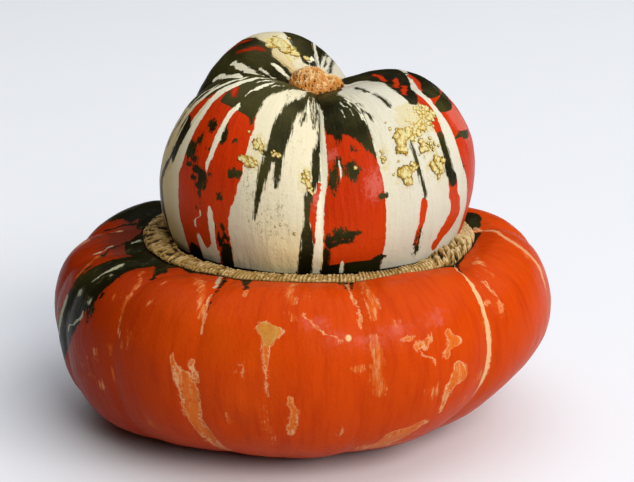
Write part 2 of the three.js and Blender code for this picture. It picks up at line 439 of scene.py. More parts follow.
class Skin:
    """What a rind material knows of a point: its turn, its way, places for patterns, and grains."""

    def __init__(self, tree, length, centre, scales):
        self.tree = tree
        corner = tree.nodes.new("ShaderNodeUVMap")
        corner.uv_map = "skin"
        self.corner = corner.outputs[0]
        parts = tree.nodes.new("ShaderNodeSeparateXYZ")
        tree.links.new(self.corner, parts.inputs[0])
        self.turn = Value(tree, parts.outputs[0])
        self.way = Value(tree, parts.outputs[1])
        coordinates = tree.nodes.new("ShaderNodeTexCoord")
        self.place = coordinates.outputs["Object"]
        # Millimetres round the fruit for one degree, from the distance to the middle.
        middle = (np.array(centre) + SHIFT[:2]) * MM
        x = Value(tree, self.part(0)) - middle[0]
        y = Value(tree, self.part(1)) - middle[1]
        radius = (x * x + y * y).math("SQRT")
        self.girth = radius * (math.radians(1) / MM)
        # A place in which patterns run down the fruit, as its flesh grew.
        self.flow = self.stretched(length, 0.22)
        self.streak = self.stretched(length, 0.07)
        # Broad clouds, fine mottling, ragged tears, streaks and fibres down the fruit, and chips.
        self.broad = grain(tree, self.place, scales["broad"], 3)
        self.fine = grain(tree, self.flow, 420, 4, 0.6, 3)
        self.ragged = grain(tree, self.flow, scales["ragged"], 5, 0.65, 5)
        self.streaky = grain(tree, self.streak, scales["streaky"], 3, 0.6, 9)
        self.fibre = grain(tree, self.streak, scales["fibre"], 4, 0.7, 12)
        self.chips = grain(tree, self.place, 420, 4, 0.65, 16)

    def part(self, axis):
        node = self.tree.nodes.new("ShaderNodeSeparateXYZ")
        self.tree.links.new(self.place, node.inputs[0])
        return node.outputs[axis]

    def stretched(self, length, share):
        """A place where the turn counts in full and the way only for a share of its length."""
        angle = self.turn * math.radians(1)
        node = self.tree.nodes.new("ShaderNodeCombineXYZ")
        round_fruit = 0.08
        feed(self.tree, angle.math("SINE") * round_fruit, node.inputs[0])
        feed(self.tree, angle.math("COSINE") * round_fruit, node.inputs[1])
        feed(self.tree, self.way * (length * share), node.inputs[2])
        return node.outputs[0]

    def band(self, rows):
        """How deep inside a band a point lies, in millimetres; rows are (way, left, right)."""
        rows = close_ends(rows)
        middle = graph(self.way, [(way, (left + right) / 2) for way, left, right in rows])
        half = graph(self.way, [(way, (right - left) / 2) for way, left, right in rows])
        return (half - abs(self.turn - middle)) * self.girth

    def spot(self, turn, way, width, height):
        """How deep inside an oval a point lies, in millimetres; width in degrees, height in way."""
        scaled = self.tree.nodes.new("ShaderNodeVectorMath")
        scaled.operation = "MULTIPLY_ADD"
        self.tree.links.new(self.corner, scaled.inputs[0])
        scaled.inputs[1].default_value = (1 / width, 1 / height, 0)
        scaled.inputs[2].default_value = (-turn / width, -way / height, 0)
        away = self.tree.nodes.new("ShaderNodeVectorMath")
        away.operation = "LENGTH"
        self.tree.links.new(scaled.outputs[0], away.inputs[0])
        return (1 - Value(self.tree, away.outputs["Value"])) * width * 1.2

    def marks(self, bands=(), spots=(), lines=()):
        """How deep inside any of the marks a point lies, in millimetres."""
        deepest = None
        as_bands = [[(way, turn - half, turn + half) for way, turn, half in line] for line in lines]
        for mark in [*bands, *as_bands]:
            for shift in shifts(min(row[1] for row in mark), max(row[2] for row in mark)):
                rows = [(way, left + shift, right + shift) for way, left, right in mark]
                deepest = deeper(deepest, self.band(rows))
        for turn, *rest in spots:
            for shift in shifts(turn, turn):
                deepest = deeper(deepest, self.spot(turn + shift, *rest))
        return deepest


def shifts(left, right):
    """The whole turns that bring a mark to the skin's own turns, from -180 to 180."""
    return [shift for shift in (-360, 0) if left + shift < 182 and right + shift > -182]


def deeper(first, second):
    return second if first is None else first.math("MAXIMUM", second)


def close_ends(rows):
    """Rows with an end added on each side that isn't at the edge of the zone, so a band closes."""
    gap, inside = 0.012, -2.5
    rows = list(rows)
    if rows[0][0] > gap:
        way, left, right = rows[0]
        middle = (left + right) / 2
        rows.insert(0, (way - gap, middle - inside, middle + inside))
    if rows[-1][0] < 1 - gap:
        way, left, right = rows[-1]
        middle = (left + right) / 2
        rows.append((way + gap, middle - inside, middle + inside))
    return rows


def new_material(name):
    """A material with one glossy shader, and its node tree and shader."""
    material = bpy.data.materials.new(name)
    material.use_nodes = True
    tree = material.node_tree
    return material, tree, tree.nodes["Principled BSDF"]


def bump(tree, shader, height, distance):
    """Fine relief on the shader from a height in 0 to 1, whose full range is the distance."""
    node = tree.nodes.new("ShaderNodeBump")
    node.inputs["Distance"].default_value = distance
    feed(tree, height, node.inputs["Height"])
    tree.links.new(node.outputs[0], shader.inputs["Normal"])


# ---- Markings of the crown: bands as (way, left turn, right turn), lines as (way, turn, half
# width in degrees) and spots as (turn, way, width in degrees, height in way)

CROWN_RED_BANDS = [
    [(0.47, -46.5, -41), (0.5, -47, -38), (0.53, -48, -26), (0.56, -48.5, -25.6), (0.6, -49.5, -25.3),
     (0.7, -51.3, -26.2), (0.75, -54, -27), (0.8, -54.8, -28.6), (0.9, -56.4, -31),
     (1, -56, -31.5)],
    [(0.5, -54, -50.5), (0.55, -57, -51.5), (0.6, -58.5, -52.5), (0.63, -58.5, -54)],
    [(0.46, 4.7, 24), (0.6, 4.8, 24), (0.65, 4.4, 24.3), (0.7, 3.3, 24.7), (0.8, 2.6, 24.7),
     (0.9, 2.6, 24.6), (1, 1.8, 24.4)],
    [(0.65, 0.7, 3), (0.67, 0.2, 2.8), (0.7, -1.4, 2), (0.72, -2.8, 1.6), (0.75, -2.6, 1),
     (0.8, -1.4, 0.6), (0.84, -1, 0.2)],
    [(0.79, 38.8, 40.8), (0.83, 37.8, 41), (0.86, 38, 40.5), (0.9, 37, 39.5), (0.93, 38, 38.6)],
    [(0.5, 55, 61.5), (0.53, 53.8, 60), (0.6, 53, 57.6), (0.65, 52.5, 56)],
    [(0.765, 52.6, 58), (0.785, 53, 58.5), (0.82, 52.8, 59), (0.87, 54.5, 62.2), (0.9, 51, 62),
     (0.93, 49.5, 57), (0.96, 48, 51)],
    [(0.5, 66, 94), (0.56, 62, 92), (0.65, 61.5, 92), (0.75, 63.3, 92),
     (0.85, 67.6, 92), (1, 66, 88)],
    [(0.42, 107, 118), (0.6, 104, 127), (0.8, 103, 130), (1, 106, 126)],
    [(0.4, 142, 150), (0.6, 138, 150), (0.85, 139, 149), (1, 141, 148)],
    [(0.5, 170, 186), (0.7, 166, 189), (0.9, 167, 187), (1, 169, 185)],
    [(0.62, 214, 232), (0.68, 211, 236), (0.85, 213, 234), (1, 216, 232)],
    [(0.42, 264, 272), (0.6, 264, 276), (0.85, 266, 275), (1, 267, 274)],
]
CROWN_DARK_BANDS_AND_SHADOW = [
    [(0.2, -104, -12), (0.3, -100, -16), (0.35, -94, -18.5), (0.37, -90, -19), (0.39, -86, -20.2),
     (0.427, -76, -22.6), (0.46, -66, -24.8), (0.5, -50, -25.3), (0.515, -44.6, -25.4),
     (0.54, -44.6, -25.6), (0.552, -41, -26), (0.562, -29, -26.3), (0.58, -27.2, -26.6)],
    [(0.4, -96, -47), (0.45, -90, -46.5), (0.49, -76, -47.5), (0.52, -68, -50.5), (0.55, -66, -54),
     (0.58, -67, -60)],
    [(0.615, -59, -56), (0.63, -59.8, -53.8), (0.66, -60.4, -53), (0.7, -61, -54.8),
     (0.73, -60.8, -57), (0.745, -59.6, -58.2)],
    [(0.2, -12, 0), (0.3, -9, -3), (0.36, -10, -4.5), (0.38, -10.6, -5.2), (0.4, -11.6, -5.8),
     (0.42, -13.6, -6.4), (0.45, -15.6, -8), (0.5, -17.4, -10.4), (0.55, -18.5, -10.8),
     (0.6, -18.8, -11.8), (0.63, -19.2, -12.2), (0.645, -19.4, -14)],
    [(0.63, -19.2, -15.8), (0.68, -20, -16.8), (0.72, -20.4, -17.7), (0.76, -20.8, -18.5),
     (0.8, -21.2, -19.5), (0.825, -21.3, -20.2)],
    [(0.63, -16, -12.2), (0.66, -15.2, -12.5), (0.69, -14.8, -13), (0.715, -14.5, -13.6)],
    [(0.12, -10, 78), (0.15, -8, 78), (0.17, -7, 70), (0.19, -6, 60), (0.21, -5.5, 50),
     (0.24, -5, 40), (0.265, -4, 34), (0.285, -2.5, 26), (0.33, 3, 22.5), (0.38, 4.2, 23),
     (0.43, 4.6, 24), (0.47, 4.8, 24.6), (0.49, 5.6, 24.6), (0.505, 8, 24.6), (0.52, 13, 24.6),
     (0.535, 15.6, 24.6), (0.56, 18, 24.5), (0.585, 20, 24.3), (0.61, 22, 24.2),
     (0.628, 23.6, 24.2)],
    [(0.505, 8.6, 14), (0.52, 9.2, 13.2), (0.535, 9.8, 12.2), (0.552, 10.2, 10.9)],
    [(0.95, 3, 24.5), (0.97, 1.8, 24.5), (1, 1.5, 24.4)],
    [(0.93, 22.6, 24.5), (0.96, 18, 24.5)],
    [(0.86, 2.8, 4.4), (0.9, 2.6, 5.2), (0.95, 2.4, 5)],
    [(0.5, 0.9, 2.5), (0.55, -0.9, 2.4), (0.6, -1.7, 2.1), (0.63, -1.9, 2), (0.65, -1.4, 0.8),
     (0.67, -2.2, 0.2), (0.7, -3.6, -1), (0.75, -4.1, -1.7), (0.8, -4.6, -1), (0.85, -5, -0.6),
     (0.9, -5.7, -0.8), (0.95, -6.4, -0.9), (1, -7, -1.1)],
    [(0.93, -34.6, -31.4), (0.955, -36.8, -31.4), (1, -37.5, -31.4)],
    # Painted shadow: a black strip at the crown's foot, above the ring.
    [(0.96, -54, -48), (1, -56.5, -46.5)],
    [(0.64, 52.4, 55.8), (0.68, 52, 55.5), (0.72, 51.8, 55.8), (0.76, 52.6, 57.5),
     (0.785, 54, 58)],
    [(0.2, 96, 150), (0.26, 88, 146), (0.3, 79, 140), (0.32, 75, 136), (0.345, 70, 128),
     (0.36, 65, 122), (0.375, 60, 118), (0.39, 57, 114), (0.405, 54, 106), (0.42, 52, 92),
     (0.45, 50.5, 72), (0.47, 50, 65), (0.49, 49.5, 61), (0.51, 49, 57.5), (0.525, 49.8, 54)],
    [(0.305, 40.5, 43), (0.32, 38, 42.5), (0.335, 36.5, 41), (0.35, 37, 39.5), (0.37, 36.5, 39),
     (0.39, 35.2, 38), (0.4, 36, 38.5)],
    [(0.42, 37.8, 39), (0.44, 37.5, 39.7), (0.48, 37.5, 39.7), (0.5, 38, 39.2)],
    [(0.44, 88, 110), (0.48, 73, 108), (0.5, 66.5, 104), (0.52, 64.5, 100), (0.535, 66, 96)],
    [(0.56, 63, 94), (0.575, 62.6, 90), (0.59, 64, 82)],
    [(0.665, 64.8, 70), (0.675, 65.2, 78), (0.685, 69, 80)],
    [(0.625, 38.4, 39), (0.65, 38.5, 40), (0.7, 38.5, 40.2), (0.75, 39.2, 40.8),
     (0.785, 40.2, 40.9)],
    [(0.99, 46, 60), (1, 42, 62)],
    [(0.38, 105, 120), (0.5, 108, 121), (0.56, 112, 117)],
    [(0.3, 134, 152), (0.42, 138, 150.5), (0.48, 143, 148)],
    [(0.22, 172, 176), (0.27, 172, 178), (0.33, 172, 180), (0.42, 171, 180), (0.52, 172, 179)],
    [(0.2, 178, 200), (0.24, 179, 204.5), (0.27, 180, 204.7), (0.3, 180, 204), (0.35, 181, 203),
     (0.4, 181, 202), (0.5, 178, 198), (0.58, 176, 190)],
    [(0.16, 238, 258), (0.19, 236, 258), (0.22, 233.6, 258), (0.28, 233, 258), (0.305, 228.5, 258),
     (0.32, 226, 258), (0.35, 225, 258), (0.4, 224, 258), (0.5, 222, 262), (0.58, 224, 256),
     (0.64, 230, 246)],
    [(0.92, 168, 186), (1, 166, 188)],
    [(0.93, 214, 232), (1, 213, 234)],
    [(0.95, 104, 128), (1, 103, 129)],
    [(0.3, 262, 275), (0.42, 263, 273), (0.5, 266, 270)],
]
CROWN_DARK_LINES_AND_SHADOW = [
    # A dark line that widens at its foot into painted contact shadow above the ring.
    [(0.71, -60.5, 0.8), (0.74, -63, 1.3), (0.765, -66, 1.8), (0.79, -69.4, 2.4),
     (0.855, -72, 2.4), (0.93, -72, 3), (1, -71, 4)],
    [(0.6, -64.5, 0.6), (0.65, -66.5, 0.9), (0.7, -68.5, 0.9)],
    [(0.35, -74, 1.5), (0.5, -76, 1.8), (0.7, -80, 1.2), (0.9, -84, 1.1)],
    [(0.3, -5.6, 1.4), (0.38, -5.4, 0.9), (0.42, -5.6, 0.4), (0.47, -6.2, 0.5), (0.5, -7, 0.3)],
    [(0.3, -3, 1.4), (0.36, -3.6, 0.8), (0.4, -3.2, 0.4), (0.46, -2.4, 0.2)],
    [(0.3, -1.4, 1), (0.36, -1.4, 0.8), (0.4, -1.2, 0.4), (0.45, -1.4, 0.45), (0.48, -1.6, 0.2)],
    [(0.25, 0.4, 2), (0.33, 0.8, 1.4), (0.38, 0.8, 0.9), (0.42, 0.6, 0.5), (0.47, -0.4, 0.25)],
    [(0.36, 1.6, 0.9), (0.41, 2.3, 0.7), (0.46, 2.1, 0.6), (0.51, 1.6, 0.8)],
    [(0.43, 24, 0.7), (0.46, 25.2, 0.7), (0.485, 26.4, 0.9), (0.52, 27.6, 0.6)],
    [(0.4, 23, 0.6), (0.43, 25.4, 0.4), (0.46, 27, 0.3)],
    [(0.24, 161, 0.8), (0.3, 163, 1.4), (0.38, 166, 1.2), (0.5, 168, 1.2), (0.6, 165, 0.8)],
    [(0.26, 168, 0.4), (0.32, 169.5, 0.7), (0.4, 170, 0.6)],
    [(0.3, 97, 0.8), (0.5, 96, 1.3), (0.7, 98, 0.9), (0.85, 99, 0.7)],
    [(0.5, 134, 1), (0.7, 133, 1.6), (0.9, 134, 0.9)],
    [(0.55, 206, 1), (0.75, 205, 1.4), (0.95, 206, 1)],
    [(0.5, 251, 0.9), (0.7, 252, 1.3), (0.9, 251, 0.8)],
    [(0.5, 282, 0.9), (0.7, 283, 1.2), (0.9, 284, 1)],
]
CROWN_DARK_SPOTS = [
    (4.6, 0.824, 2.4, 0.022), (7.8, 0.816, 2.6, 0.027), (10.6, 0.823, 2.3, 0.022),
    (13.2, 0.827, 2, 0.014), (6, 0.85, 2.6, 0.013), (10, 0.846, 2, 0.011), (15.2, 0.824, 1.1, 0.006),
    (-44.6, 0.745, 3, 0.013), (-41.6, 0.76, 2.5, 0.02), (-45.6, 0.768, 2, 0.011),
    (-43, 0.785, 2.4, 0.013), (-42.7, 0.812, 0.9, 0.02), (-48.8, 0.738, 1.7, 0.008),
    (7.4, 0.64, 2.4, 0.038), (8.8, 0.61, 1.2, 0.02), (14.4, 0.64, 2.7, 0.028), (13, 0.625, 1.4, 0.012),
    (23.8, 0.737, 1.4, 0.007), (16, 0.585, 0.7, 0.008), (63.4, 0.775, 0.5, 0.012),
    (64, 0.805, 0.6, 0.006), (62.8, 0.79, 0.4, 0.008),
    (-41.5, 0.62, 2.2, 0.018), (-35.3, 0.63, 1.3, 0.02), (-49, 0.7, 3, 0.026),
    (-28.6, 0.722, 2.2, 0.012), (-34.3, 0.795, 1, 0.007), (-37, 0.885, 0.6, 0.007),
    (-33.5, 0.88, 0.9, 0.007), (-35.4, 0.92, 1.6, 0.014), (-33, 0.905, 1, 0.008),
    (-40, 0.68, 0.9, 0.006), (-45, 0.665, 0.7, 0.008), (-44.3, 0.855, 1, 0.01),
    (-38.4, 0.74, 0.6, 0.008), (-31, 0.64, 0.5, 0.006), (-46, 0.72, 1.6, 0.012),
    (39, 0.94, 0.6, 0.007), (38, 0.915, 0.4, 0.012), (39.4, 0.9, 0.3, 0.01),
    (115, 0.68, 3, 0.03), (121, 0.78, 2, 0.02), (178, 0.75, 3, 0.04), (183, 0.66, 1.6, 0.02),
    (224, 0.72, 3, 0.035), (218, 0.82, 1.8, 0.02), (144, 0.7, 1.6, 0.03),
]
# Red that shows through the dark.
CROWN_LATE_RED_LINES = [
    [(0.308, 100, 4), (0.32, 92, 8), (0.335, 84, 6), (0.345, 78, 2)],
    [(0.37, 80, 3), (0.39, 72, 7), (0.41, 65, 5), (0.43, 59, 2)],
    [(0.425, 68, 3), (0.445, 61, 4.5), (0.465, 56, 3), (0.48, 53, 1)],
    [(0.425, 92, 2), (0.44, 88, 5), (0.46, 82, 6), (0.475, 76, 4), (0.49, 71, 1.5)],
    [(0.475, -42.8, 0.8), (0.49, -42, 2), (0.51, -40.5, 1.6), (0.52, -39.5, 0.6)],
    [(0.33, 232, 0.5), (0.38, 234, 1.6), (0.44, 236, 0.8)],
    [(0.42, 226, 0.6), (0.48, 227, 1.8), (0.54, 229, 1)],
]
CROWN_CREAM_BANDS = [
    [(0.835, -38.5, -38), (0.88, -39.5, -37), (0.92, -40, -37.5), (0.95, -42, -37.5),
     (0.965, -46, -37.5), (1, -47, -38)],
    [(0.92, -46.3, -45.7), (0.95, -46.8, -43.5), (1, -47.3, -42.5)],
    [(0.405, -63, -57), (0.42, -68, -50), (0.435, -69, -46.5), (0.445, -68, -57)],
    [(0.352, -60, -54), (0.37, -66, -47), (0.385, -68, -54)],
    [(0.17, 246, 251), (0.19, 244, 249), (0.228, 240.5, 245.5), (0.26, 239, 242.5),
     (0.275, 239.5, 241)],
]
CROWN_CREAM_LINES = [
    [(0.36, -37, 0.5), (0.4, -39.8, 1), (0.42, -40.6, 1.4), (0.45, -42.8, 1.8),
     (0.475, -44.8, 2.2), (0.5, -47, 2.4), (0.525, -48.2, 2.1), (0.55, -48.8, 1.7), (0.6, -49.4, 1.2),
     (0.62, -50, 1.3), (0.65, -51.4, 1.7), (0.7, -53.2, 2.4), (0.75, -56, 3), (0.8, -60.5, 6),
     (0.85, -62, 7), (0.9, -63, 7.4), (1, -63, 7)],
    [(0.42, -45.4, 0.6), (0.45, -48, 1.2), (0.475, -50.6, 1.3), (0.5, -53.2, 1.4), (0.55, -57.4, 1.5),
     (0.6, -60.6, 1.9), (0.64, -62, 1.5), (0.7, -64.4, 1.5), (0.74, -66.6, 1)],
    [(0.62, -58.2, 0.3), (0.66, -59.2, 0.45), (0.7, -60, 0.4), (0.72, -61, 0.2)],
    [(0.49, -56, 0.3), (0.52, -59.8, 0.6), (0.56, -62.6, 0.6), (0.62, -66.5, 0.8), (0.68, -69, 0.6)],
    [(0.38, -29.6, 0.25), (0.41, -30.4, 0.6), (0.44, -31.8, 1.3), (0.465, -32.8, 0.8),
     (0.5, -34.6, 0.3)],
    [(0.36, -24, 0.2), (0.39, -26, 0.35), (0.42, -27.4, 0.2)],
    [(0.355, -31.6, 0.2), (0.38, -33, 0.5), (0.41, -35, 0.5), (0.43, -36, 0.2)],
    [(0.535, -34.8, 0.5), (0.56, -35.8, 1.2), (0.6, -37.2, 1.1), (0.65, -37.8, 1),
     (0.7, -38.6, 0.9), (0.74, -39.7, 0.4)],
    [(0.855, -43, 0.25), (0.875, -44.5, 0.35), (0.9, -46.5, 0.25)],
    [(0.3, 2, 0.2), (0.35, 2.8, 0.4), (0.4, 3.9, 0.8), (0.45, 4, 0.9), (0.5, 3.8, 1.15),
     (0.55, 3.5, 1.4), (0.6, 3.5, 1.4), (0.65, 3.2, 0.9), (0.7, 2.2, 1.1), (0.75, 1.6, 1.2),
     (0.8, 1.4, 1.3), (0.85, 1.1, 1.3), (0.9, 0.5, 1.05), (0.95, 0.3, 1), (1, 0, 0.95)],
    [(0.31, -5.6, 0.2), (0.36, -5.3, 0.3), (0.4, -4.8, 0.4), (0.43, -4.6, 0.3)],
    [(0.36, 19.4, 0.15), (0.4, 21, 0.3), (0.45, 22.6, 0.35), (0.5, 23.4, 0.15)],
    [(0.37, 22, 0.15), (0.41, 23.4, 0.4), (0.46, 24.2, 0.4), (0.52, 24.2, 0.2)],
    [(0.38, 17.4, 0.1), (0.42, 18.9, 0.25), (0.47, 20.4, 0.1)],
    [(0.4, 15, 0.1), (0.43, 15.6, 0.2), (0.46, 16, 0.1)],
    [(0.6, 9.5, 0.15), (0.635, 9.7, 0.3), (0.66, 9.5, 0.15)],
    [(0.434, 84, 1), (0.443, 79, 5), (0.455, 74, 5.5), (0.47, 69, 4.4), (0.49, 65, 3),
     (0.51, 62.6, 2.1), (0.53, 61.8, 1.8), (0.55, 61, 1.6), (0.6, 60.6, 1.7), (0.625, 60.2, 2),
     (0.65, 59.4, 2.6), (0.7, 59.2, 2.8), (0.74, 59.8, 2.8), (0.77, 61.6, 2.6), (0.81, 63.4, 3),
     (0.85, 65.3, 3), (0.89, 66.2, 3.4), (1, 62, 3)],
    [(0.3, 252, 0.4), (0.33, 251, 0.9), (0.36, 249.6, 1.9), (0.39, 246.8, 2), (0.42, 245, 1.6),
     (0.445, 243, 0.5)],
    [(0.25, 253, 0.4), (0.27, 251.6, 0.7), (0.3, 249, 0.6), (0.32, 247.5, 0.3)],
    [(0.34, 258, 0.6), (0.38, 255.5, 1.2), (0.42, 252, 1.4), (0.46, 249, 1.2), (0.51, 246.5, 0.8)],
    [(0.2, 173.5, 0.5), (0.25, 176, 1), (0.3, 178, 1), (0.36, 179.8, 0.8), (0.45, 180, 0.5)],
    [(0.222, 190, 5), (0.235, 187, 4), (0.25, 184, 2)],
    [(0.935, 9.6, 0.4), (1, 9.4, 0.6)],
]

# ---- Markings of the lower fruit

LOWER_DARK_BANDS = [
    [(0, -66, -52), (0.1, -66, -52.5), (0.2, -66.5, -52), (0.3, -66, -51.5), (0.4, -66.5, -52),
     (0.44, -67, -54), (0.5, -68.5, -57), (0.55, -72, -60), (0.6, -73, -65), (0.65, -74, -69),
     (0.68, -74, -72)],
    [(0, -88, -48), (0.03, -86, -49), (0.07, -82, -50), (0.1, -79, -66)],
    [(0, -154, -92), (0.06, -150, -97), (0.12, -130, -101.5), (0.2, -124, -104.5),
     (0.28, -118, -105.5), (0.35, -112, -105), (0.4, -109, -106)],
    [(0, -55, -46), (0.05, -55, -46.5), (0.1, -51, -44.8), (0.15, -47, -43.5), (0.2, -44.2, -42.7),
     (0.235, -42.8, -42.2)],
    [(0, -21.6, -17.6), (0.07, -20, -17), (0.13, -18, -16), (0.18, -16.4, -15.1),
     (0.21, -15.3, -14.7)],
    [(0, 72, 92), (0.03, 80, 92), (0.05, 83, 91), (0.07, 86, 90)],
    [(0, 98, 112), (0.05, 95.5, 111), (0.09, 96, 111), (0.13, 99, 110), (0.16, 102, 108)],
    [(0, 44, 62), (0.02, 47, 60), (0.04, 52, 58)],
    [(0, 150, 175), (0.06, 152, 170), (0.14, 156, 163)],
    [(0, 206, 236), (0.08, 210, 233), (0.2, 214, 227), (0.3, 217, 222)],
]
LOWER_DARK_LINES = [
    [(0, -27.4, 0.8), (0.08, -25, 0.7), (0.15, -23.6, 0.5), (0.25, -22.2, 0.35), (0.33, -21.6, 0.2)],
    [(0, 12.8, 0.5), (0.08, 12.7, 0.4), (0.14, 12.7, 0.15)],
    [(0, 10.9, 0.7), (0.1, 11.2, 0.6), (0.18, 11.5, 0.35), (0.22, 11.7, 0.15)],
    [(0, 9.2, 0.9), (0.05, 9.4, 0.7), (0.09, 9.6, 0.2)],
    [(0, 55.4, 0.8), (0.08, 52.8, 0.7), (0.15, 50.6, 0.5), (0.2, 49.6, 0.2)],
    [(0.04, -81, 0.5), (0.1, -79.6, 0.7), (0.15, -78, 0.7), (0.2, -76, 0.7), (0.24, -73.6, 0.5)],
    [(0.3, -68, 0.3), (0.4, -66.6, 0.5), (0.5, -69.8, 0.5), (0.6, -74, 0.5)],
    [(0.12, -96, 0.6), (0.2, -94, 0.5), (0.3, -91, 0.3)],
    [(0, 183, 1), (0.15, 181, 0.6), (0.3, 180, 0.2)],
    [(0, 128, 0.9), (0.12, 127, 0.6), (0.2, 126.5, 0.2)],
    [(0, 258, 0.9), (0.15, 259, 0.6), (0.28, 260, 0.2)],
]
LOWER_DARK_SPOTS = [
    (27.5, 0.02, 1.8, 0.03), (-2, 0, 2.6, 0.01), (32, 0.006, 3, 0.012), (140, 0.05, 5, 0.05),
    (246, 0.04, 6, 0.05), (-39, 0, 5, 0.03), (-33, 0, 3, 0.02), (-52.5, 0.44, 1, 0.02),
    (-51, 0.38, 0.8, 0.012),
]
LOWER_PALE_BANDS = [
    [(0.525, -25, -24), (0.54, -26.4, -22.6), (0.57, -26.3, -21.8), (0.6, -25.8, -21.4),
     (0.65, -25.3, -21.7), (0.7, -24.6, -21.2), (0.75, -23.6, -20.4), (0.8, -22.8, -19.4),
     (0.83, -22, -19)],
    [(0.365, -8.6, -7.2), (0.38, -9, -6), (0.395, -9.6, -4), (0.41, -8.6, -4.2),
     (0.43, -7.9, -5.6), (0.46, -7.8, -6.4), (0.5, -7.5, -6.8), (0.57, -7, -6.5)],
    [(0.575, -2.9, -2), (0.6, -2.8, -1.4), (0.62, -2.5, -0.8), (0.65, -2.7, -0.9),
     (0.67, -3.1, -1.4), (0.69, -3.1, -1.6)],
    [(0.435, 31.6, 33), (0.45, 31.2, 33.6), (0.465, 31.6, 35.6), (0.48, 30.4, 32.6),
     (0.5, 30, 31.6)],
    [(0.525, 32.6, 35), (0.55, 32, 36.2), (0.575, 31, 36), (0.59, 30.6, 33.4),
     (0.61, 30.3, 32.6), (0.635, 30.4, 32), (0.67, 30.8, 31.4)],
    [(0.69, 27, 28.4), (0.71, 22.5, 27.6), (0.73, 19.5, 27), (0.75, 19, 25.5), (0.78, 17, 24),
     (0.8, 16, 23), (0.815, 18, 27)],
    [(0.5, 100, 101.6), (0.56, 99.5, 102.6), (0.64, 100, 103), (0.72, 101.5, 104)],
    [(0.45, 146, 148), (0.5, 145, 149), (0.54, 146.4, 148.4), (0.62, 146.8, 148)],
    [(0.55, 205, 206.6), (0.62, 203.8, 207.6), (0.7, 204.6, 207.8), (0.78, 206, 208)],
    [(0.3, 268, 270), (0.38, 267.6, 271.6), (0.46, 269, 271)],
]
LOWER_PALE_LINES = [
    [(0.485, -27.2, 0.3), (0.51, -26.8, 0.7), (0.545, -25.9, 0.9)],
    [(0.495, -22.7, 0.4), (0.52, -22.4, 0.7), (0.55, -22.2, 0.8)],
    [(0.33, 0.3, 0.15), (0.36, 1.6, 0.2), (0.385, 3, 0.3), (0.41, 5, 0.4), (0.43, 8, 0.3)],
    [(0.04, 11.7, 0.3), (0.2, 12.1, 0.35), (0.25, 12.5, 0.4), (0.3, 13, 0.4), (0.39, 12.7, 0.2)],
    [(0.27, 51.8, 0.3), (0.31, 51.2, 0.5), (0.35, 50.4, 0.3)],
    [(0.4, 50.6, 0.3), (0.42, 50.2, 0.4)],
    [(0.47, 25, 0.2), (0.49, 26.4, 0.3), (0.51, 28, 0.2)],
    [(0.25, -22.8, 0.3), (0.33, -22.2, 0.35), (0.42, -21.8, 0.2)],
    [(0.215, -14.6, 0.25), (0.25, -14, 0.3)],
    [(0, 94, 0.8), (0.06, 93.2, 1.4), (0.12, 90, 1), (0.18, 85, 0.7), (0.24, 79, 0.4)],
    [(0.15, -98, 0.4), (0.3, -97, 0.5), (0.5, -98, 0.3)],
    [(0.15, 128, 0.4), (0.35, 127, 0.8), (0.6, 126, 0.4)],
    [(0.1, 196, 0.4), (0.3, 197, 0.9), (0.55, 196, 0.5)],
    [(0.3, 231, 0.5), (0.5, 229, 0.9), (0.7, 228, 0.4)],
]
LOWER_PALE_SPOTS = [
    (22.6, 0.436, 1.2, 0.006), (25, 0.46, 1.4, 0.012), (27.2, 0.448, 0.6, 0.008),
    (51, 0.3, 0.4, 0.02), (50.5, 0.335, 0.4, 0.015), (57, 0.18, 0.8, 0.014), (50.6, 0.415, 0.5, 0.012),
    (47.4, 0.38, 0.7, 0.008), (-12.4, 0.5, 0.35, 0.008), (8.4, 0.7, 0.4, 0.008),
]
LOWER_FAINT_BANDS = [
    [(0.04, -5.7, -3.4), (0.1, -5.5, -3.1), (0.15, -5, -2.8), (0.2, -4.5, -2.4),
     (0.25, -4, -1.9), (0.29, -3, -1.5)],
    [(0.15, -30.6, -28.8), (0.2, -28.6, -26.4), (0.25, -26.6, -24.2), (0.31, -24.6, -22.8),
     (0.37, -23, -22.2)],
    [(0.04, 15.4, 17.5), (0.1, 15.5, 17.6), (0.18, 15.4, 17.2), (0.22, 15.6, 17.2),
     (0.26, 15.5, 18.2), (0.3, 15.2, 18.3), (0.34, 15, 17), (0.365, 15.2, 16.4)],
    [(0.42, 14.6, 16), (0.47, 14.4, 16.6), (0.5, 14.4, 16.4), (0.53, 14, 16.8), (0.58, 15, 17)],
    [(0.78, 14, 24), (0.81, 13, 26), (0.83, 16, 24)],
]
LOWER_FAINT_LINES = [
    [(0.1, -33, 0.3), (0.15, -31.6, 0.5), (0.2, -30, 0.3)],
    [(0.2, -48, 0.5), (0.24, -45.5, 0.7), (0.28, -44, 0.5), (0.35, -43.2, 0.45), (0.43, -42.8, 0.3),
     (0.47, -41.8, 0.3), (0.5, -40.4, 0.5)],
    [(0.505, -44.3, 0.4), (0.53, -44, 0.5)],
    [(0.57, -44, 0.3), (0.63, -43.6, 0.5)],
    [(0.33, -2.6, 0.5), (0.36, -1.6, 0.6)],
    [(0.24, -74, 0.4), (0.28, -71, 0.6), (0.33, -69, 0.5), (0.38, -68, 0.4)],
    [(0.64, -15.8, 0.4), (0.67, -15.4, 0.5)],
    [(0.3, 74, 0.4), (0.36, 75.5, 0.8), (0.42, 77, 0.5)],
    [(0.13, 60, 0.4), (0.17, 58.2, 1), (0.21, 57, 0.8), (0.25, 55.4, 0.4), (0.3, 54.6, 0.3)],
]
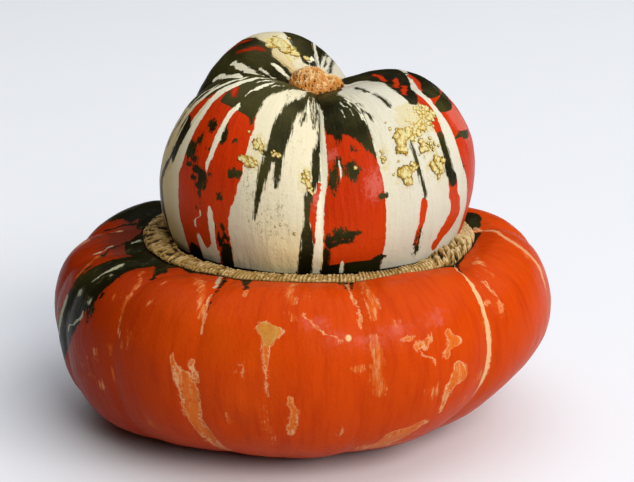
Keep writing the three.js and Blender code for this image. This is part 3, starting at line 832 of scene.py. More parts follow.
LOWER_FAINT_SPOTS = [
    (42.8, 0.45, 0.8, 0.02), (50, 0.395, 0.5, 0.01), (1.6, 0.25, 0.6, 0.01), (38, 0.66, 0.5, 0.008),
    (-35.6, 0.35, 0.5, 0.01), (-37, 0.25, 0.5, 0.008), (28, 0.59, 0.8, 0.012), (11.4, 0.5, 0.8, 0.006),
    (-7, 0.67, 0.4, 0.02), (41, 0.6, 1.6, 0.02), (-48.6, 0.64, 0.8, 0.008), (-51.6, 0.62, 1, 0.008),
    (-54, 0.6, 0.8, 0.006), (-47, 0.37, 0.5, 0.008), (-39, 0.47, 0.5, 0.008), (-49, 0.55, 0.5, 0.008),
    (-52, 0.57, 0.6, 0.006), (-36, 0.72, 1, 0.012), (20.5, 0.39, 0.7, 0.006),
]
# Greyish cracks in the dark patch on the left.
LOWER_GREY_LINES = [
    [(0.18, -60.6, 0.3), (0.24, -60.3, 0.7), (0.3, -60.2, 0.7), (0.35, -59.6, 0.3)],
    [(0.455, -55.6, 0.3), (0.48, -57.4, 0.5), (0.505, -59.4, 0.5), (0.53, -62, 0.4)],
    [(0.45, -67.8, 0.4), (0.5, -68.4, 0.8), (0.55, -69.6, 0.8), (0.58, -70.5, 0.4)],
    [(0, -29, 0.6), (0.08, -27, 0.6), (0.15, -25, 0.5), (0.2, -24, 0.3)],
    [(0, -78.2, 1), (0.06, -78.6, 0.7)],
    [(0.16, -79.2, 0.3), (0.2, -77.6, 0.4), (0.26, -76, 0.3)],
]
LOWER_GREY_SPOTS = [(-55.2, 0.285, 0.8, 0.01), (-61.8, 0.415, 1.4, 0.012), (-54.6, 0.42, 0.6, 0.01)]
PALE_DOT = (9.7, 0.42, 0.62, 0.009)
PALE_SEAM = [(0, 54, 0.4), (0.08, 51.8, 0.45), (0.12, 50.4, 0.5), (0.2, 48.6, 0.6), (0.27, 47.2, 0.9),
             (0.35, 45.6, 1.1), (0.42, 44.8, 1), (0.5, 44.5, 1.2), (0.58, 44.1, 1.2),
             (0.64, 43.6, 0.8), (0.68, 43, 0.3)]
FAINT_SEAM = [(0.04, 96, 1), (0.08, 94, 1.8), (0.13, 90, 2.2), (0.17, 86, 2.4), (0.2, 82, 2),
              (0.235, 78.5, 1.5), (0.3, 76.6, 1.2), (0.4, 76, 1.1), (0.46, 75, 0.6)]
# Painted highlights: where a pinkish sheen of reflected light is painted on the skin.
LOWER_PAINTED_HIGHLIGHTS = [(3, 0.37, 3.5, 0.03), (8, 0.42, 3, 0.025), (20, 0.41, 4, 0.03), (30, 0.39, 3.5, 0.035),
                (14, 0.43, 4, 0.02)]
OLIVE_STAR = (-7, 0.4, 3, 0.05)
# Where the crown's pale stripe at the back is yellow.
YELLOWS = [(214, 0.3, 8, 0.06), (206, 0.26, 5, 0.03), (222, 0.24, 3, 0.02), (219, 0.34, 4, 0.03)]
# Painted highlights: where the red of the crown has a pinkish sheen of reflected light.
CROWN_PAINTED_HIGHLIGHTS = [(21.5, 0.7, 4, 0.05), (7, 0.57, 3, 0.02), (0, 0.7, 3, 0.04), (74, 0.63, 9, 0.08)]
FRECKLE_ZONES = [(-16, 0.8, 9, 0.1), (-10, 0.5, 6, 0.1), (46, 0.64, 9, 0.09), (-15, 0.4, 5, 0.06),
                 (-22, 0.75, 5, 0.06), (216, 0.3, 9, 0.1)]


# ---- Materials

CREAM = shade("c9c0a3")
CREAM_LIT_RIGHT = shade("c1bcaa")
CREAM_PAINTED_LIGHT = shade("dccf9c")
CREAM_LIGHT = shade("d9d3b8")
CREAM_SHADED = shade("a8976a")
CREAM_GREEN = shade("7f7a4c")
CREAM_OLIVE_SHADE = shade("b8994e")
CROWN_RED = shade("b22d07")
CROWN_DEEP_RED = shade("8a1c05")
CROWN_PALE_RED = shade("bd3f0c")
HIGHLIGHT_PINK = shade("c06355")
YELLOW = shade("c9b84e")
YELLOW_GREEN = shade("8a8a30")
DARK_GREEN = shade("393619")
BLACK_GREEN = shade("131104")
DARK_FLECK = shade("5b5630")
SKIN_ORANGE = shade("b63b05")
SKIN_RED = shade("a02a04")
SKIN_GLOW = shade("c24e0b")
SKIN_SHADE_RED = shade("7a1d03")
PALE_ORANGE = shade("c26322")
PALE_CREAM = shade("d2a877")
STAR_OLIVE = shade("a8883a")
CRACK_GREY = shade("a3a184")
SHOULDER_MAUVE = shade("4f261d")
UNDER_CREAM = shade("c9bf99")
CORK_CLEFT = shade("2e210b")
CORK_TAN = shade("8d6c33")
CORK_LIGHT = shade("bda577")
SCAR_CLEFT = shade("4e280b")
SCAR_TAN = shade("b97a34")
SCAR_LIGHT = shade("d8b985")
WART_OLIVE = shade("745c1c")
WART_YELLOW = shade("a8862f")
WART_LIGHT = shade("c8be88")
WART_TINT = shade("b8a558")
CONTACT_SHADOW_BROWN = shade("1c1006")

# How far the skin runs from the top of each zone to its foot, in metres.
CROWN_LENGTH = 0.175
LOWER_LENGTH = 0.2
# How closely each rind's grains repeat: higher is finer.
CROWN_GRAINS = {"broad": 28, "ragged": 260, "streaky": 700, "fibre": 1100}
LOWER_GRAINS = {"broad": 18, "ragged": 200, "streaky": 420, "fibre": 900}
# Half the width of a mark's soft edge, in millimetres.
EDGE = 0.25
CROWN_SPECULAR = 0.028
LOWER_SPECULAR = 0.025
CORK_SPECULAR = 0.2
CORK_ROUGHNESS = 0.8
# The depth of the finest relief, in metres.
CROWN_PORE_DEPTH = 0.00045
LOWER_PORE_DEPTH = 0.0005
CORK_RELIEF = 0.0006
WART_RELIEF = 0.0004


def edge(depth):
    """1 inside a mark and 0 outside, with a soft edge half a millimetre wide."""
    return depth.ease(-EDGE, EDGE)


def uneven(*parts):
    """A height that wanders about nought, from pairs of a grain and its strength."""
    first, *others = [(pattern - 0.5) * strength for pattern, strength in parts]
    for height in others:
        first = first + height
    return first


def finish_rind(skin, shader, colour, patches, smoothest, pores, dimples):
    """The rind's colour, its uneven gloss, and its relief of pores and dimples, 0 to 1."""
    tree = skin.tree
    feed(tree, colour, shader.inputs["Base Color"])
    gloss = grain(tree, skin.place, patches, 3, 0.6, 2) * 0.16 + smoothest
    feed(tree, gloss, shader.inputs["Roughness"])
    return grain(tree, skin.place, pores, 3, 0.55, 4) * 0.5 + grain(tree, skin.flow, dimples, 3, 0.5, 6)


def crown_cream(skin, speck, left):
    """The cream ground, with painted light and shade: whiter on the right where the light falls, olive
    in painted shade on the left, and painted light, warmer and brighter, low down in front.
    """
    colour = Coat(skin.tree, CREAM).lay(CREAM_LIT_RIGHT, skin.turn.ease(8, 40))
    colour.lay(CREAM_OLIVE_SHADE, left * 0.75)
    # Painted light: low down in front, where the cream faces down away from the lamps, it is painted
    # brighter and warmer.
    painted_light_front = skin.turn.ease(-26, -12) * skin.turn.ease(24, 4)
    colour.lay(CREAM_PAINTED_LIGHT, skin.way.ease(0.74, 0.92) * painted_light_front * 0.9)
    colour.lay(CREAM_SHADED, skin.broad.ease(0.5, 0.85) * 0.4)
    colour.lay(CREAM_SHADED, skin.streaky.ease(0.55, 0.75) * 0.35)
    freckle_zone = skin.marks(spots=FRECKLE_ZONES)
    clouds = (skin.chips * 0.6 + skin.ragged * 0.4).ease(0.52, 0.66) * freckle_zone.ease(-1, 6)
    colour.lay(CREAM_GREEN, clouds * 0.6)
    freckles = (skin.fine * 0.5 + speck * 0.5 + skin.chips * 0.3).ease(0.69, 0.8)
    colour.lay(CREAM_GREEN, freckles * freckle_zone.ease(-4, 5) * 0.9)
    # The skin is yellower round each crust of warts.
    crusts = skin.marks(spots=[(turn, way, width * 0.7, length * 0.005)
                               for turn, way, width, length, _, _ in CRUSTS])
    yellowed = crusts + uneven((skin.ragged, 14), (skin.chips, 26))
    return colour.lay(WART_TINT, yellowed.ease(-1, 3) * 0.4)


def crown_red(skin, speck):
    """The red of the broad bands, paler low down, with a painted pinkish highlight in places."""
    colour = Coat(skin.tree, CROWN_RED).lay(CROWN_DEEP_RED, skin.streaky.ease(0.4, 0.75) * 0.5)
    colour.lay(CROWN_PALE_RED, skin.way.ease(0.7, 0.9) * 0.5)
    colour.lay(CROWN_PALE_RED, skin.broad.ease(0.5, 0.75) * 0.35)
    colour.lay(CROWN_DEEP_RED, skin.chips.ease(0.58, 0.72) * 0.5)
    painted_highlight = skin.marks(spots=CROWN_PAINTED_HIGHLIGHTS) + uneven((skin.chips, 12), (speck, 8))
    return colour.lay(HIGHLIGHT_PINK, painted_highlight.ease(-1, 4) * 0.6)


def crown_dark(skin, speck):
    """The dark green, nearly black at the foot, with fibres and specks showing through."""
    colour = Coat(skin.tree, DARK_GREEN).lay(BLACK_GREEN, skin.broad.ease(0.35, 0.65))
    colour.lay(DARK_FLECK, skin.fibre.ease(0.54, 0.72) * 0.35)
    colour.lay(DARK_FLECK, speck.ease(0.62, 0.7) * 0.4)
    return colour.lay(BLACK_GREEN, skin.way.ease(0.8, 0.95) * 0.8)


def crown_material():
    """The crown's rind: a cream ground under red, then dark green, then late marks over both, with
    painted light and shade on the cream, painted highlights on the red and painted shadow at the foot.
    """
    material, tree, shader = new_material("crown_rind")
    skin = Skin(tree, CROWN_LENGTH, CROWN_CENTRE, CROWN_GRAINS)
    speck = grain(tree, skin.place, 1000, 2, 0.6, 14)
    torn = uneven((skin.ragged, 5), (skin.fibre, 4), (skin.chips, 5))
    brushed = uneven((skin.fibre, 7), (skin.streaky, 2), (skin.ragged, 1.5), (skin.chips, 2))
    # Where olive painted shade falls on the left of the crown.
    left = skin.turn.ease(-46, -66) * skin.turn.ease(-150, -120)
    colour = crown_cream(skin, speck, left)
    colour.lay(crown_red(skin, speck), edge(skin.marks(CROWN_RED_BANDS) + torn * 0.4))

    blotches = skin.marks(spots=CROWN_DARK_SPOTS) + torn * 1.4
    # The dark marks, among them painted contact shadow at the crown's foot on the left.
    dark = skin.marks(CROWN_DARK_BANDS_AND_SHADOW, (), CROWN_DARK_LINES_AND_SHADOW) + brushed * 0.8
    dark = dark.math("MAXIMUM", blotches)
    colour.lay(crown_dark(skin, speck), dark.ease(-0.5, 0.5))

    # Red that shows through the dark, yellow on the back stripe, and cream lines over all.
    late_red = skin.marks((), (), CROWN_LATE_RED_LINES) + brushed * 0.5
    colour.lay(CROWN_DEEP_RED, late_red.ease(-0.9, 0.8) * 0.85)
    colour.lay(CROWN_RED, late_red.ease(0.2, 1.8) * 0.85)
    yellow = skin.marks(spots=YELLOWS) + uneven((skin.chips, 16))
    yellow_colour = Coat(tree, YELLOW).lay(YELLOW_GREEN, skin.ragged.ease(0.52, 0.62) * 0.8)
    colour.lay(yellow_colour, yellow.ease(-1, 3) * 0.75)
    lines = skin.marks(CROWN_CREAM_BANDS, (), CROWN_CREAM_LINES) + torn * 0.4
    # The cream lines, like the ground, are painted whiter on the right where the light falls and olive
    # in painted shade on the left.
    line_colour = Coat(tree, CREAM_LIGHT).lay(CREAM_LIT_RIGHT, skin.turn.ease(30, 50))
    line_colour.lay(CREAM_SHADED, skin.streaky.ease(0.5, 0.8) * 0.4)
    line_colour.lay(CREAM_OLIVE_SHADE, left * skin.way.ease(0.45, 0.7) * 0.75)
    colour.lay(line_colour, edge(lines) * 0.95)

    # Painted shadow: a thin dark line where the crown comes out of the ring.
    foot_shadow = (skin.way + uneven((skin.ragged, 0.01))).ease(0.99, 1)
    colour.lay(CONTACT_SHADOW_BROWN, foot_shadow * 0.9)
    pores = finish_rind(skin, shader, colour, 160, 0.26, 900, 300)
    bump(tree, shader, pores, CROWN_PORE_DEPTH)
    shader.inputs["Specular IOR Level"].default_value = CROWN_SPECULAR
    return material


def lower_ground(skin):
    """The orange ground: a deep red painted shade on the left, pale underneath, mauve on the left
    shoulder.
    """
    colour = Coat(skin.tree, SKIN_ORANGE).lay(SKIN_RED, skin.streaky.ease(0.42, 0.75) * 0.6)
    colour.lay(SKIN_GLOW, skin.broad.ease(0.5, 0.8) * 0.5)
    colour.lay(SKIN_GLOW, skin.fine.ease(0.6, 0.75) * 0.35)
    # Painted shade: the left side is painted a deeper red, from the back round to the front.
    left_shade = skin.turn.ease(-8, -62) * skin.turn.ease(-178, -140)
    colour.lay(SKIN_SHADE_RED, left_shade * 0.85)
    colour.lay(UNDER_CREAM, skin.way.ease(0.965, 1.02) * 0.75)
    shoulder = skin.turn.ease(-52, -80) * skin.way.ease(0.36, 0.02) * skin.turn.ease(-178, -150)
    mottled = (shoulder * 1.4 + uneven((skin.ragged, 1.6))).ease(0.3, 0.9)
    return colour.lay(SHOULDER_MAUVE, mottled * 0.7)


def lower_dark(skin):
    """The dark green of the patches on the lower fruit."""
    colour = Coat(skin.tree, DARK_GREEN)
    colour.lay(BLACK_GREEN, skin.broad.ease(0.25, 0.5) * 0.6 + 0.4)
    return colour.lay(DARK_FLECK, skin.fine.ease(0.56, 0.7) * 0.5)


def lay_pale_patches(skin, colour, torn):
    """Pale corky patches, faint and clear, fibrous and speckled with the skin's own orange."""
    fibre, chips, ragged = skin.fibre, skin.chips, skin.ragged
    faint = skin.marks(LOWER_FAINT_BANDS, LOWER_FAINT_SPOTS, LOWER_FAINT_LINES) + torn * 1.2
    faint_colour = Coat(skin.tree, PALE_ORANGE).lay(PALE_CREAM, fibre.ease(0.5, 0.64) * 0.6)
    colour.lay(faint_colour, faint.ease(-0.8, 1.4) * (fibre.ease(0.4, 0.6) * 0.35 + 0.3))
    pale = skin.marks(LOWER_PALE_BANDS, LOWER_PALE_SPOTS, LOWER_PALE_LINES) + torn
    inside = pale.ease(0.3, 1.4) * (fibre.ease(0.62, 0.46) * 0.4 + 0.55)
    inside = inside + chips.ease(0.5, 0.62) * 0.25 + ragged.ease(0.48, 0.56) * 0.45
    pale_colour = Coat(skin.tree, PALE_CREAM).lay(PALE_ORANGE, inside)
    pale_colour.lay(STAR_OLIVE, skin.spot(*OLIVE_STAR).ease(0, 1.5) * 0.7)
    colour.lay(pale_colour, pale.ease(-0.5, 0.7) * (chips.ease(0.64, 0.48) * 0.35 + 0.5))


def lower_material():
    """The lower fruit's rind: orange, with dark patches, pale corky marks, seams and cracks, and
    painted shade on the left, painted highlights in front and a painted shadow under the ring.
    """
    material, tree, shader = new_material("lower_rind")
    skin = Skin(tree, LOWER_LENGTH, LOWER_CENTRE, LOWER_GRAINS)
    torn = uneven((skin.ragged, 5), (skin.fibre, 5), (skin.chips, 6))
    colour = lower_ground(skin)
    dark = skin.marks(LOWER_DARK_BANDS, LOWER_DARK_SPOTS, LOWER_DARK_LINES) + torn
    colour.lay(lower_dark(skin), dark.ease(-0.4, 0.4))
    lay_pale_patches(skin, colour, torn)
    back_seam = skin.marks(lines=[FAINT_SEAM]) + torn * 0.6
    colour.lay(PALE_CREAM, back_seam.ease(-0.6, 1.4) * 0.55)
    # Painted highlight: a pinkish sheen of reflected light on the front.
    painted_highlight = skin.marks(spots=LOWER_PAINTED_HIGHLIGHTS) + uneven((skin.chips, 14), (skin.fine, 10))
    colour.lay(HIGHLIGHT_PINK, painted_highlight.ease(-1, 6) * 0.4)
    seam = skin.marks(lines=[PALE_SEAM]) + torn * 0.5
    colour.lay(PALE_CREAM, seam.ease(-0.4, 0.6) * 0.9)
    cracks = skin.marks((), LOWER_GREY_SPOTS, LOWER_GREY_LINES) + torn * 0.6
    colour.lay(CRACK_GREY, cracks.ease(-0.4, 0.6) * 0.8)
    colour.lay(PALE_CREAM, edge(skin.spot(*PALE_DOT)))
    # Painted shadow: a thin dark line where the skin goes under the ring.
    foot_shadow = (skin.way + uneven((skin.ragged, 0.02))).ease(0.014, 0.002)
    colour.lay(CONTACT_SHADOW_BROWN, foot_shadow * 0.85)
    pores = finish_rind(skin, shader, colour, 140, 0.24, 800, 240)
    bump(tree, shader, pores, LOWER_PORE_DEPTH)
    shader.inputs["Specular IOR Level"].default_value = LOWER_SPECULAR
    return material


def cork_material(name, cleft, tan, light, scale, relief=CORK_RELIEF):
    """Dry cork, coloured by the height stored on the mesh: dark clefts, tan flanks, light crests."""
    material, tree, shader = new_material(name)
    coordinates = tree.nodes.new("ShaderNodeTexCoord")
    place = coordinates.outputs["Object"]
    stored = tree.nodes.new("ShaderNodeAttribute")
    stored.attribute_name = "crest"
    crest = Value(tree, stored.outputs["Fac"])
    lumps = grain(tree, place, scale, 3, 0.6, 1)
    crumbs = grain(tree, place, scale * 4, 4, 0.7, 3)
    level = crest + (lumps - 0.5) * 0.7 + (crumbs - 0.5) * 0.6
    colour = Coat(tree, cleft).lay(tan, level.ease(-0.05, 0.4))
    colour.lay(light, level.ease(0.5, 1.05))
    feed(tree, colour, shader.inputs["Base Color"])
    shader.inputs["Roughness"].default_value = CORK_ROUGHNESS
    shader.inputs["Specular IOR Level"].default_value = CORK_SPECULAR
    bump(tree, shader, crumbs * 0.7 + lumps * 0.3, relief)
    return material


# ---- Pieces

def crown_rind(material):
    """The lobed crown, closed inside the ring by a hidden floor."""
    crown_rows, floor = 173, [(60, 86), (30, 85)]
    rows = crown_rows + len(floor) + 1
    piece, turn, row = sphere_rows(520, rows)
    way = np.minimum(row / crown_rows, 1)
    points = crown_point(turn, way)
    normals = normal_at(crown_point, turn, np.clip(way, 0.01, 0.99))
    ground = roughness_field(points, 30, 2, 1.3) * 0.5 + roughness_field(points, 7, 2, 4.1) * 0.12
    fade = np.clip(way / 0.1, 0, 1)
    points += normals * (ground * fade)[:, None]
    for number, (radius, height) in enumerate(floor, crown_rows + 1):
        inner = row == number
        points[inner] = point_at(turn[inner], radius, height, CROWN_CENTRE)
    points[row == rows] = (*CROWN_CENTRE, floor[-1][1])
    place_points(piece, points)
    finish_piece(piece, "crown_rind", material)
    corners = skin_map(piece, turn, row / crown_rows)
    add_bake_map(piece, corners, 0, rows / crown_rows)
    return piece


def lower_rind(material):
    """The lower fruit, with the flat spot and the stem basin, closed under the ring."""
    lid, skin_rows, flat_rows, basin_rows = 3, 153, 4, 12
    rows = lid + skin_rows + flat_rows + basin_rows
    piece, turn, row = sphere_rows(520, rows)
    way = (row - lid) / skin_rows
    points = lower_point(turn, np.clip(way, 0, 1))
    normals = normal_at(lower_point, turn, np.clip(way, 0.01, 0.98))
    ground = roughness_field(points, 34, 2, 2.3) * 0.7 + roughness_field(points, 8, 2, 6.1) * 0.14
    for seam_turn, lean, depth in SEAMS:
        away = turn_from(seam_turn + lean * (1 - way) ** 2, turn)
        ground -= CREASE_DEPTH * (0.4 + depth / 4) * np.exp(-(away / CREASE_WIDTH) ** 2)
    for dent_turn, dent_way, width, height, depth in DENTS:
        across = turn_from(dent_turn, turn) / width
        ground -= depth * np.exp(-across ** 2 - ((way - dent_way) / height) ** 2)
    fade = np.clip((1 - way) / 0.12, 0, 1) * np.clip(way / 0.04, 0, 1)
    points += normals * (ground * fade)[:, None]
    lift = RING_LIP * np.clip(1 - way / 0.15, 0, 1) ** 1.5
    lift += 1.6 * np.exp(-(turn_from(28, turn) / 11) ** 2) * np.exp(-((way - 0.05) / 0.09) ** 2)
    points[:, 2] += lift
    for number, (radius, height) in enumerate([(0, 84), (60, 84), (78.5, 86)]):
        inner = row == number
        points[inner] = point_at(turn[inner], radius, height, RING_CENTRE)
    flat_start = lid + skin_rows
    for number in range(1, flat_rows + 1):
        inner = row == flat_start + number
        outer_radius = LOWER_OUTLINE[-1][0]
        radius = outer_radius + (FLAT_INNER_RADIUS - outer_radius) * number / flat_rows
        points[inner] = point_at(turn[inner], radius, 0, LOWER_CENTRE)
    for number in range(1, basin_rows + 1):
        inner = row == flat_start + flat_rows + number
        radius, height = spline(BASIN, np.array(number / basin_rows))
        points[inner] = point_at(turn[inner], max(radius, 0), height, LOWER_CENTRE)
    place_points(piece, points)
    finish_piece(piece, "lower_rind", material)
    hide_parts(NODE)
    corners = skin_map(piece, turn, way)
    add_bake_map(piece, corners, -lid / skin_rows, (rows - lid) / skin_rows)
    return piece


def store_crest(piece, crest):
    """Keeps the height that the cork material is coloured by."""
    stored = piece.data.attributes.new("crest", "FLOAT", "POINT")
    stored.data.foreach_set("value", np.asarray(crest, np.float32))


def cut_round(piece, parts):
    """Cuts each of a torus's lengths that run round its axis into equal parts."""
    mesh = piece.data
    places = points_of(piece)
    outline = np.stack([np.hypot(places[:, 0], places[:, 1]), places[:, 2]], -1)
    ends = np.empty(len(mesh.edges) * 2, int)
    mesh.edges.foreach_get("vertices", ends)
    start, end = ends.reshape(-1, 2).T
    runs_round = np.linalg.norm(outline[start] - outline[end], axis=1) < 1e-5
    bpy.ops.object.mode_set(mode="EDIT")
    bpy.ops.mesh.select_mode(type="EDGE")
    bpy.ops.mesh.select_all(action="DESELECT")
    bpy.ops.object.mode_set(mode="OBJECT")
    mesh.edges.foreach_set("select", runs_round)
    bpy.ops.object.mode_set(mode="EDIT")
    bpy.ops.mesh.subdivide(number_cuts=parts - 1)
    bpy.ops.mesh.select_mode(type="VERT")
    bpy.ops.object.mode_set(mode="OBJECT")


RING_STRANDS = 280
RING_TWIST = 0.2
# How much of the step from the crown's foot to the lower fruit the ring covers, from the outside.
RING_EDGE = 0.94
RING_RADIUS = 77
# The thick, lumpy crust on the right and the rough stretch on the left, as (turn, width in turn).
RING_CRUST = (66, 21)
RING_ROUGH = (-85, 30)


def cork_ring(material):
    """The corky ring round the crown's foot: short strands across it, like the lay of a rope."""
    fresh()
    bpy.ops.mesh.primitive_torus_add(major_segments=256, minor_segments=20)
    piece = bpy.context.active_object
    cut_round(piece, 10)
    torus = points_of(piece)
    turn = np.degrees(np.arctan2(torus[:, 0], -torus[:, 1]))
    out = np.hypot(torus[:, 0], torus[:, 1]) - 1
    around = np.arctan2(torus[:, 2], out)
    angle = np.radians(turn)
    outwards = np.stack([np.sin(angle), -np.cos(angle), np.zeros_like(angle)], -1)
    up = np.array([0, 0, 1])
    on_circle = outwards * RING_RADIUS
    lumps = roughness_field(on_circle, 10, 3, 8.0)
    sway = roughness_field(on_circle, 6, 2, 3.0)
    torn = roughness_field(on_circle, 14, 2, 9.0)
    crust = np.exp(-(turn_from(RING_CRUST[0], turn) / RING_CRUST[1]) ** 4)
    rough = np.exp(-(turn_from(RING_ROUGH[0], turn) / RING_ROUGH[1]) ** 2)

    # Strands and fine threads, lost where the cork is loose and crumbles instead.
    strand = np.abs(np.sin(angle * RING_STRANDS / 2 + sway * 0.9 + around * RING_TWIST)) ** 0.7
    threads = roughness_field(on_circle + up * (around * 2)[:, None], 0.9, 2, 5.0)
    shell = outwards * (torus[:, 2] * 22)[:, None] + up * (out * 26)[:, None]
    crumbs = 1 - 3.6 * np.abs(roughness_field(on_circle + shell, 4.5, 3, 6.0))
    loose = np.clip(0.35 + 1.1 * rough + 1.4 * crust + 0.5 * torn, 0.1, 1.4)
    relief = (strand - 0.6) * 0.65 * np.clip(1.2 - loose, 0.08, 1) + threads * 0.3
    relief += crumbs * (0.9 + 0.9 * crust) * loose
    relief *= np.clip(np.sin(around) + 0.5, 0, 1)

    inner = crown_point(turn, 1.0) + up * 0.8
    outer = lower_point(turn, 0.0) + up * RING_LIP
    half_width = 0.32 + 0.05 * lumps + (0.24 + 0.1 * lumps) * crust + 0.16 * rough
    across = RING_EDGE - half_width + np.cos(around) * half_width
    height = 1.1 + 0.3 * lumps + crust * (2 + 1.4 * sway) + rough
    points = inner + (outer - inner) * across[:, None]
    points[:, 2] += np.sin(around) * height + relief
    place_points(piece, points)

    crest = strand * np.clip(1.2 - loose, 0.1, 0.75) + np.clip(crumbs, -0.5, 1) * loose * 0.8
    # The cork is darker on its inner side towards the crown in the rough and crusty stretches, and a
    # little darker over the rough stretch on the left: partly its own brown, partly painted shade.
    inside = np.clip(-np.cos(around), 0, 1)
    crest += threads * 0.25 + crust * 0.3 - 0.35 * inside * (rough + crust) - 0.1 * rough
    store_crest(piece, crest)
    return finish_piece(piece, "cork_ring", material)


SCAR_RADIUS = 12.6
SCAR_FOOT = 164.6
# Bulges of the scar's outline, as (turn, width in turn, rise).
SCAR_BULGES = [(82, 22, 1.4), (45, 18, -1.6), (-5, 40, 1.5)]
# The tall button and the low lump on its right, as (x, radius, height).
SCAR_BUTTON = (-3.5, 11, 8.6)
SCAR_LUMP = (8.5, 6.5, 5.2)
SCAR_RIM_HEIGHT = 2.6


def knob(points, middle, radius, height):
    """A flat-topped rise of the scar at each point."""
    return height * np.exp(-(np.hypot(points[:, 0] - middle, points[:, 1]) / radius) ** 4)


def blossom_scar(material):
    """The crusty button in the middle of the top, with a smaller lump on its right."""
    rows = 100
    piece, turn, row = sphere_rows(240, rows)
    share = row / rows
    radius = SCAR_RADIUS + roughness_field(point_at(turn, 10, 0, (0, 0)), 6, 2, 5.0) * 0.7
    for bulge_turn, width, rise in SCAR_BULGES:
        radius += rise * np.exp(-(turn_from(bulge_turn, turn) / width) ** 2)
    out = np.sin(np.pi * share)
    up = np.cos(np.pi * share)
    points = point_at(turn, radius * out ** 0.8, 0, (0, 0))
    top = np.maximum(knob(points, *SCAR_BUTTON), knob(points, *SCAR_LUMP))
    top = np.maximum(top, SCAR_RIM_HEIGHT) * np.abs(up) ** 0.6
    # The scar droops into the front groove.
    droop = 1.8 * np.exp(-(turn / 45) ** 2) * out ** 2
    points[:, 2] = SCAR_FOOT + np.where(up > 0, top, -4 * np.abs(up)) - droop
    points[:, 0] += CROWN_CENTRE[0]
    # Crumpled folds, sharp in the clefts and rounded on top.
    folds = 1 - 2 * np.abs(roughness_field(points, 4.5, 2, 7.0))
    fibres = 1 - 2 * np.abs(roughness_field(points * [1, 1, 0.4], 1.2, 3, 1.0))
    crust = folds * 0.4 + fibres * 0.6
    points[:, 2] += (crust - 0.5) * 1.7 * np.clip(up * 3, 0, 1)
    points[:, :2] += (points[:, :2] - CROWN_CENTRE) * ((crust - 0.5) * 0.07)[:, None]
    place_points(piece, points)
    store_crest(piece, crust * 0.9 + 0.3 * np.clip(up * 2 - 0.9, -0.5, 0.6))
    return finish_piece(piece, "blossom_scar", material)


# Crusts of small corky warts as (turn, way, width, length, number of warts, size of one), with the
# lengths in millimetres.
CRUSTS = [
    (49, 0.565, 20, 12, 46, 2.3), (55, 0.57, 7, 9, 14, 2.2), (42, 0.6, 14, 6, 14, 2.9),
    (36.5, 0.6, 7, 6, 8, 4), (34.5, 0.628, 4, 6, 5, 3.8), (45.5, 0.52, 9, 3, 8, 1.8),
    (43.4, 0.65, 3.6, 5.4, 5, 3.2), (33.4, 0.695, 5.4, 4.6, 4, 4.6), (34.2, 0.715, 3, 5, 4, 2.8),
    (37, 0.69, 3.6, 4, 5, 2.2), (47.6, 0.705, 9, 5, 7, 3.8), (48.4, 0.73, 6, 5, 6, 2.8),
    (47, 0.655, 7, 5, 9, 1.3), (-22, 0.622, 5, 4, 6, 2.8), (-24, 0.676, 8, 3, 9, 2.8),
    (-3.4, 0.655, 4, 7, 6, 3), (-1.8, 0.68, 2.4, 4, 4, 2), (-15.5, 0.628, 5, 3, 7, 1.4),
    (26.4, 0.63, 2.4, 6, 6, 1.4), (216, 0.31, 12, 16, 26, 3.6), (207, 0.25, 9, 5, 8, 3),
    (224, 0.33, 5, 6, 6, 3.2), (193, 0.23, 8, 3, 7, 2.2),
]
# Single warts as (turn, way, size).
LONE_WARTS = [
    (33, 0.565, 1.8), (35.5, 0.575, 2), (32.5, 0.54, 1.4), (38, 0.53, 1.7), (48, 0.635, 1.5),
    (49.5, 0.657, 1.1), (51, 0.665, 1.2), (50.5, 0.6, 1.5), (52.5, 0.61, 1.3), (41, 0.665, 1),
    (29, 0.69, 1.2), (32, 0.66, 1), (54, 0.585, 1.5), (15.5, 0.635, 2), (-12, 0.815, 1.3),
    (-7, 0.83, 1.3), (-26.5, 0.6, 1.4), (-20, 0.64, 1.1), (212, 0.37, 2.2), (203, 0.34, 1.8),
]
# The height of a wart for its size, and the size past which one has more faces.
WART_HEIGHT = 0.11
FINE_WART = 2.6
WART_DEPTH = 0.8


def wart(turn, way, size, seed):
    """One wart, shaped to the crown under it: light in the middle and dark at the rim."""
    fresh()
    bpy.ops.mesh.primitive_ico_sphere_add(subdivisions=4 if size > FINE_WART else 3, radius=1)
    piece = bpy.context.active_object
    ball = points_of(piece)
    crumb = roughness_field(ball, 0.35, 2, seed + 3)
    half_size = size / 2 * (1 + 0.75 * roughness_field(ball, 0.8, 2, seed))
    rim = np.hypot(ball[:, 0], ball[:, 1])
    top = ball[:, 2] > 0
    dome = np.sqrt(np.clip(1 - rim ** 4, 0, 1))
    rise = np.where(top, size * WART_HEIGHT * dome * (1 + 0.5 * crumb), ball[:, 2] * WART_DEPTH)
    # Millimetres for one degree of turn and for the whole of the way, here on the crown.
    girth = np.linalg.norm(crown_point(turn + 0.5, way) - crown_point(turn - 0.5, way))
    slope = np.linalg.norm(crown_point(turn, way + 0.005) - crown_point(turn, way - 0.005)) * 100
    turns = turn + ball[:, 0] * half_size / girth
    ways = way - ball[:, 1] * half_size / slope
    place_points(piece, crown_point(turns, ways)
                 + normal_at(crown_point, turns, ways) * rise[:, None])
    store_crest(piece, np.where(top, 1.15 - 1.2 * rim ** 2.2 + 0.5 * crumb, 0))
    return piece


